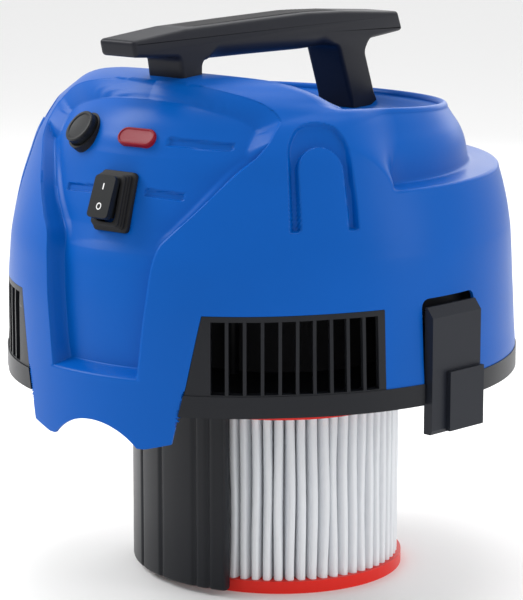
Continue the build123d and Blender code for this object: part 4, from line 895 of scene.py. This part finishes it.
# ---- the inlet baffle ----
BAFFLE_OUT = 110.0
BAFFLE_IN = 99.0
BAFFLE_FROM = -75.0
BAFFLE_TO = 16.0
BAFFLE_LOW = 5.0
BAFFLE_HIGH = 158.9
BAFFLE_GROOVES = (-66.0, -30.0, -15.0, 3.0, 9.0)
BAFFLE_GROOVE_DEPTH = 1.5
BAFFLE_GROOVE_DEG = 0.9
BAFFLE_ROUND = 2.0
BAFFLE_LEVELS = (  # height, and how far the skin is drawn in there
    (BAFFLE_LOW, 2.0), (BAFFLE_LOW + 0.3, 1.0), (BAFFLE_LOW + 1.0, 0.35), (BAFFLE_LOW + 2.2, 0.0),
    (60.0, 0.0), (110.0, 0.0), (BAFFLE_HIGH, 0.0),
)
FIN_OUT = 119.0
FIN_DEG = 1.6
FIN_LOW = 20.0
FIN_HIGH = 152.0


def make_baffle():
    """The curved baffle, with soft upright grooves, rounded edges and a fin at one end."""
    turn = np.linspace(BAFFLE_FROM, BAFFLE_TO, 220)
    press = sum(BAFFLE_GROOVE_DEPTH * np.exp(-((turn - g) / BAFFLE_GROOVE_DEG) ** 2) for g in BAFFLE_GROOVES)
    ends = np.minimum(turn - BAFFLE_FROM, BAFFLE_TO - turn) * math.radians(BAFFLE_OUT)
    past = np.maximum(BAFFLE_ROUND - ends, 0)
    corner = BAFFLE_ROUND - np.sqrt(np.maximum(BAFFLE_ROUND**2 - past**2, 0))
    rings = []
    for z, pull in BAFFLE_LEVELS:
        r_out = BAFFLE_OUT - pull - press - corner
        fin = (turn < BAFFLE_FROM + FIN_DEG) & (z > FIN_LOW) & (z < FIN_HIGH)
        r_out = np.where(fin, FIN_OUT, r_out)
        r_in = BAFFLE_IN + pull * 0.8 + corner[::-1] * 0.5
        a = np.radians(turn)
        outer = np.stack([r_out * np.sin(a), -r_out * np.cos(a), np.full(len(a), z)], 1)
        inner = np.stack([r_in * np.sin(a), -r_in * np.cos(a), np.full(len(a), z)], 1)[::-1]
        rings.append(np.vstack([outer, inner]) * MM)
    obj = loft("ribbed_baffle", rings, "frame", BLACK)
    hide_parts("inlet_baffle")


# ---- controls ----
SWITCH = (0.0, 165.3, 298.0, 16.0)
ROCKER_TILT = -6.0
ROCKER_PIVOT = 4.0
ROCKER_FACE = 11.2
BUTTON = (-17.8, 148.6, 339.0, 38.0)
BUTTON_HOLE_R = 13.9
SPRING_R = 7.0
SPRING_WIRE = 0.7
SPRING_LOW = -5.25
SPRING_HIGH = 0.75
SPRING_TURNS = 3
BADGE = (2.6, 147.6, 339.5, 38.0)
BOOT_SKIN = [  # half width, half height, height above the panel, up the bellows and back down inside
    (15.2, 20.9, -2.4), (15.3, 21.0, -0.2), (15.0, 20.7, 0.5), (13.9, 19.6, 0.9), (12.6, 18.3, 1.5),
    (12.5, 18.2, 1.9), (13.4, 19.2, 2.4), (13.5, 19.3, 3.1), (12.5, 18.3, 3.6), (12.0, 17.8, 4.0),
    (12.8, 18.6, 4.6), (12.9, 18.7, 5.2), (11.9, 17.7, 5.8), (11.4, 17.2, 6.1), (12.1, 17.9, 6.7),
    (12.1, 17.9, 7.4), (11.4, 17.2, 8.0), (9.0, 15.6, 8.0), (8.4, 15.1, 7.4), (8.4, 15.1, -1.5),
]
BUTTON_SKIN = [  # radius, height above the panel, depth of the grip flutes
    (12.3, 1.6, 0.0), (12.6, 2.1, 0.35), (12.6, 7.0, 0.35), (12.5, 7.8, 0.2), (12.1, 8.3, 0.0),
    (11.6, 8.5, 0.0), (10.4, 8.5, 0.0), (9.9, 8.2, 0.0), (9.5, 7.6, 0.0), (6.0, 7.25, 0.0), (1.0, 7.15, 0.0),
]
BUTTON_FLUTES = 40
BADGE_SKIN = [  # half width, half height, height above the panel
    (15.4, 6.6, -1.2), (15.5, 6.7, 2.9), (15.3, 6.5, 3.5), (14.8, 6.0, 3.9), (14.3, 5.5, 3.95),
    (13.9, 5.1, 3.8), (13.6, 4.8, 3.35), (12.0, 3.6, 3.25),
]
TOP_RING_SKIN = [  # radius, height: down round the skirt, up its outside and back inside
    (89.6, 129.9), (89.4, 129.5), (90.6, 129.3), (91.2, 129.6), (91.5, 130.3), (91.5, 157.9),
    (90.5, 158.9), (60.0, 158.9), (60.0, 153.2), (89.6, 153.2), (89.6, 129.9),
]
MARK_PROUD = 0.12
MARK_SUNK = 0.3
MARK_FROM_MIDDLE = 7.0


def make_boot():
    plane = local_frame(*SWITCH)
    rings = [place(rounded_rect(w, h, 3.2, z), plane) for w, h, z in BOOT_SKIN]
    obj = loft("rubber_bellows", rings, "frame", RUBBER, True, False)
    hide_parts("switch_boot")


def rocker_plane():
    origin, x_dir, y_dir, z_dir = local_frame(*SWITCH)
    lean = math.radians(ROCKER_TILT)
    y_new = math.cos(lean) * y_dir + math.sin(lean) * z_dir
    z_new = math.cos(lean) * z_dir - math.sin(lean) * y_dir
    return origin + ROCKER_PIVOT * z_dir, x_dir, y_new, z_new


def make_rocker_marks():
    """The plain I and O marks, sunk into the rocker's face."""
    plane = rocker_plane()
    low, top = ROCKER_FACE - MARK_SUNK, ROCKER_FACE + MARK_PROUD
    bar = [rounded_rect(0.45, 2.2, 0.4, h) + np.array([0, MARK_FROM_MIDDLE, 0]) for h in (low, top)]
    loft("mark_on", [place(r, plane) for r in bar], "rocker", MARK_WHITE)
    outer, inner = 2.5, 1.75
    narrow = np.array([0.85, 1.0, 1.0])
    rings = []
    for r, h in ((outer, low), (outer, top), (inner, top), (inner, low)):
        ring = circle(r, h, 32) * narrow + np.array([0, -MARK_FROM_MIDDLE, 0])
        rings.append(place(ring, plane))
    loft("mark_off", rings, "rocker", MARK_WHITE, False, False)


def make_button():
    plane = local_frame(*BUTTON)
    rings = [place(circle(r, h, 120, BUTTON_FLUTES, deep), plane) for r, h, deep in BUTTON_SKIN]
    obj = loft("round_button", rings, "button", BLACK_SWITCH)
    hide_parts("clean_button")


def make_spring():
    """The button's return spring, a coil of wire round the button's axis."""
    origin, x_dir, y_dir, z_dir = local_frame(*BUTTON)
    rings = []
    for turn in np.linspace(0, 2 * math.pi * SPRING_TURNS, SPRING_TURNS * 32 + 1):
        share = turn / (2 * math.pi * SPRING_TURNS)
        out = math.cos(turn) * x_dir + math.sin(turn) * y_dir
        middle = origin + out * SPRING_R + z_dir * mix(SPRING_LOW, SPRING_HIGH, share)
        around = np.linspace(0, 2 * math.pi, 12, endpoint=False)[:, None]
        rings.append((middle + SPRING_WIRE * (np.cos(around) * out + np.sin(around) * z_dir)) * MM)
    obj = loft("return_spring", rings, "frame", STEEL)
    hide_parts("button_spring")
    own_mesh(obj)


def make_top_ring():
    """The cartridge's red top ring, with a skirt round the top of the paper."""
    rings = [circle(r, z, 128) * MM for r, z in TOP_RING_SKIN]
    obj = loft("red_top_ring", rings, "filter", RED, False, False)
    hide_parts("filter_top_ring")


def make_badge():
    plane = local_frame(*BADGE)
    rings = [place(rounded_rect(w, h, h - 0.05, z, 14), plane) for w, h, z in BADGE_SKIN]
    obj = loft("pill_badge", rings, "frame", BADGE_RED)
    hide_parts("filter_badge")


# ---- the handle ----
HANDLE_HALF = 16.0
HANDLE_SIDE = [  # y, z, corner rounding
    (-184.6, 407.9, 3.4), (-125.5, 411.8, 60.0), (-57.0, 412.1, 60.0), (14.7, 412.1, 60.0),
    (60.4, 409.7, 40.0), (128.3, 404.1, 3.4), (135.1, 389.0, 3.4), (91.8, 386.2, 9.0), (85.7, 377.6, 6.0),
    (102.0, 336.2, 0.4), (70.5, 336.2, 0.4), (51.4, 385.2, 9.0), (12.2, 385.0, 30.0), (-50.9, 386.9, 30.0),
    (-108.5, 388.3, 5.0), (-111.5, 369.2, 0.4), (-130.0, 369.2, 0.4), (-134.5, 392.4, 6.0),
    (-181.4, 396.5, 3.4),
]
HANDLE_SLICES = (0.0, 5.0, 7.0, 9.0, 10.8, 12.2, 13.0, 13.8, 14.5, 15.1, 15.6, 15.9, 16.0)
EDGE_ROUND = 3.0
UNDER_WIDE = 10.0
UNDER_HIGH = 11.0
UNDER_SPAN = (-103.0, -96.0, 34.0, 48.0)
UNDER_BETWEEN = (380.0, 396.0)  # heights of the grip's underside
REAR_FOOT = (337.0, 6.0)      # height from which the rear leg's edges are rounded, and over what height
FRONT_FOOT = (371.0, 4.0)


def filleted(points, steps=8):
    """A closed outline with each corner rounded to its own radius."""
    out = []
    count = len(points)
    for i, (y, z, radius) in enumerate(points):
        p = np.array([y, z])
        a = np.array(points[i - 1][:2]) - p
        b = np.array(points[(i + 1) % count][:2]) - p
        reach_a, reach_b = np.linalg.norm(a), np.linalg.norm(b)
        a, b = a / reach_a, b / reach_b
        half = math.acos(float(np.clip(a @ b, -1, 1))) / 2
        back = min(radius / max(math.tan(half), 1e-6), reach_a * 0.48, reach_b * 0.48)
        start, end = p + a * back, p + b * back
        for k in range(steps + 1):
            t = k / steps
            out.append((1 - t) ** 2 * start + 2 * t * (1 - t) * p + t * t * end)
    dense = []
    for i, q in enumerate(out):
        following = out[(i + 1) % len(out)]
        pieces = max(1, int(np.linalg.norm(following - q) / 9.0))
        for k in range(pieces):
            dense.append(q + (following - q) * k / pieces)
    return np.array(dense)


def make_handle():
    """The handle's outline in slices across it, drawn in towards both sides to round its edges."""
    side = filleted(HANDLE_SIDE)
    along = np.roll(side, -1, 0) - np.roll(side, 1, 0)
    inward = np.stack([along[:, 1], -along[:, 0]], 1)
    inward /= np.maximum(np.linalg.norm(inward, axis=1, keepdims=True), 1e-9)
    y = side[:, 0]
    low_from, low_full, high_full, high_to = UNDER_SPAN
    under = ease((y - low_from) / (low_full - low_from)) * (1 - ease((y - high_full) / (high_to - high_full)))
    z = side[:, 1]
    under *= (z < UNDER_BETWEEN[1]) & (z > UNDER_BETWEEN[0])
    rear, front = (ease((z - start) / over) for start, over in (REAR_FOOT, FRONT_FOOT))
    foot = np.where(y > 0, rear, front)

    def slice_at(x):
        a = abs(x)
        small = EDGE_ROUND - math.sqrt(max(EDGE_ROUND**2 - max(a - HANDLE_HALF + EDGE_ROUND, 0) ** 2, 0))
        lean = min(max(a - HANDLE_HALF + UNDER_WIDE, 0) / UNDER_WIDE, 1.0)
        big = UNDER_HIGH * (1 - math.sqrt(1 - lean * lean))
        shift = mix(small * foot, max(big, small), under)
        moved = side + inward * shift[:, None]
        return np.column_stack([np.full(len(side), x), moved]) * MM

    positions = [-x for x in HANDLE_SLICES[::-1]] + list(HANDLE_SLICES[1:])
    rings = [slice_at(x) for x in positions]
    obj = loft("grip_handle", rings, "frame", BLACK_HANDLE)
    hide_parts("handle")


INLAY = [  # y, z along its top
    (-124.0, 411.7), (-100.0, 412.2), (-57.0, 412.55), (-20.0, 412.6), (14.7, 412.5), (40.0, 411.2),
    (59.0, 409.9),
]
INLAY_HALF = 10.0
INLAY_END = 2.2
INLAY_RIB = 0.14


def make_inlay():
    """The grip strip on top of the handle, finely ribbed across."""
    line = rounded_curve(INLAY, 10)
    rings = []
    for k, (y, z) in enumerate(line):
        end = min(k, len(line) - 1 - k)
        half = INLAY_HALF - INLAY_END * max(0.0, 1 - end / 3.0) ** 2
        rib = INLAY_RIB * (k % 2)
        left = [(-half, z - 1.6), (-half, z - 0.35), (-half + 0.35, z - 0.05 - rib), (-half * 0.6, z - rib)]
        section = left + [(0, z - rib)] + [(-x, h) for x, h in reversed(left)]
        rings.append(np.array([(x, y, h) for x, h in section]) * MM)
    obj = loft("grip_inlay", rings, "frame", GRIP)
    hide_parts("handle_inlay")


# ---- camera, floor and light ----
VIEW_ROUND = math.radians(37.5)   # the camera stands this far round from the front
VIEW_DOWN = math.radians(11.54)
VIEW_CENTRE_Y = -0.026        # metres, like all sizes of the camera, floor and lights
VIEW_DISTANCE = 2.0
VIEW_RISE = 0.4523
LENS_MM = 166.602
FRAMING_SHIFT = 0.005
FLOOR_HALF = 6.0
WORLD_STRENGTH = 0.9
LIGHT_TARGET = (0.0, 0.0, 0.22)
LIGHTS = [  # name, place, width, height, watts
    ("left_soft", (-1.3, -0.8, 1.5), 0.7, 0.9, 24.0),
    ("right_soft", (1.75, 0.35, 0.75), 0.6, 1.1, 7.0),
    ("top_soft", (-0.1, 0.2, 1.7), 1.0, 1.0, 9.0),
    ("rear_soft", (-0.4, 1.7, 1.0), 1.2, 1.2, 7.0),
]


def make_camera():
    centre = Vector((0.0, VIEW_CENTRE_Y, RING_BOTTOM * MM))
    sideways, ahead = math.sin(VIEW_ROUND), math.cos(VIEW_ROUND)
    cam = bpy.data.cameras.new("camera")
    cam.lens = LENS_MM
    cam.sensor_width = 36.0
    cam.shift_x = FRAMING_SHIFT
    eye = centre + Vector((VIEW_DISTANCE * sideways, -VIEW_DISTANCE * ahead, VIEW_RISE))
    flat = math.cos(VIEW_DOWN)
    look = Vector((-sideways * flat, ahead * flat, -math.sin(VIEW_DOWN)))
    obj = bpy.data.objects.new("camera", cam)
    obj.location = eye
    obj.rotation_euler = look.to_track_quat("-Z", "Y").to_euler()
    bpy.context.scene.collection.objects.link(obj)
    bpy.context.scene.camera = obj


def make_floor():
    mat, _ = new_material("floor_white", (0.93, 0.93, 0.93), 0.6)
    mesh = bpy.data.meshes.new("floor")
    corners = [(x * FLOOR_HALF, y * FLOOR_HALF, 0) for x, y in ((-1, -1), (1, -1), (1, 1), (-1, 1))]
    mesh.from_pydata(corners, [], [(0, 1, 2, 3)])
    mesh.materials.append(mat)
    floor = bpy.data.objects.new("floor", mesh)
    bpy.context.scene.collection.objects.link(floor)


def make_world():
    world = bpy.data.worlds.new("studio")
    world.use_nodes = True
    world.node_tree.nodes["Background"].inputs["Color"].default_value = (1, 1, 1, 1)
    world.node_tree.nodes["Background"].inputs["Strength"].default_value = WORLD_STRENGTH
    bpy.context.scene.world = world
    bpy.context.scene.view_settings.view_transform = "Standard"


def make_lights():
    for name, spot, wide, high, watts in LIGHTS:
        lamp = bpy.data.lights.new(name, "AREA")
        lamp.energy = watts
        lamp.shape = "RECTANGLE"
        lamp.size = wide
        lamp.size_y = high
        obj = bpy.data.objects.new(name, lamp)
        obj.location = spot
        obj.rotation_euler = (Vector(LIGHT_TARGET) - Vector(spot)).to_track_quat("-Z", "Y").to_euler()
        bpy.context.scene.collection.objects.link(obj)


make_camera()
make_floor()
make_world()
make_lights()
dress_cad_nodes()
make_cover()
make_media()
make_baffle()
make_boot()
make_rocker_marks()
make_button()
make_spring()
make_top_ring()
make_badge()
make_handle()
make_inlay()
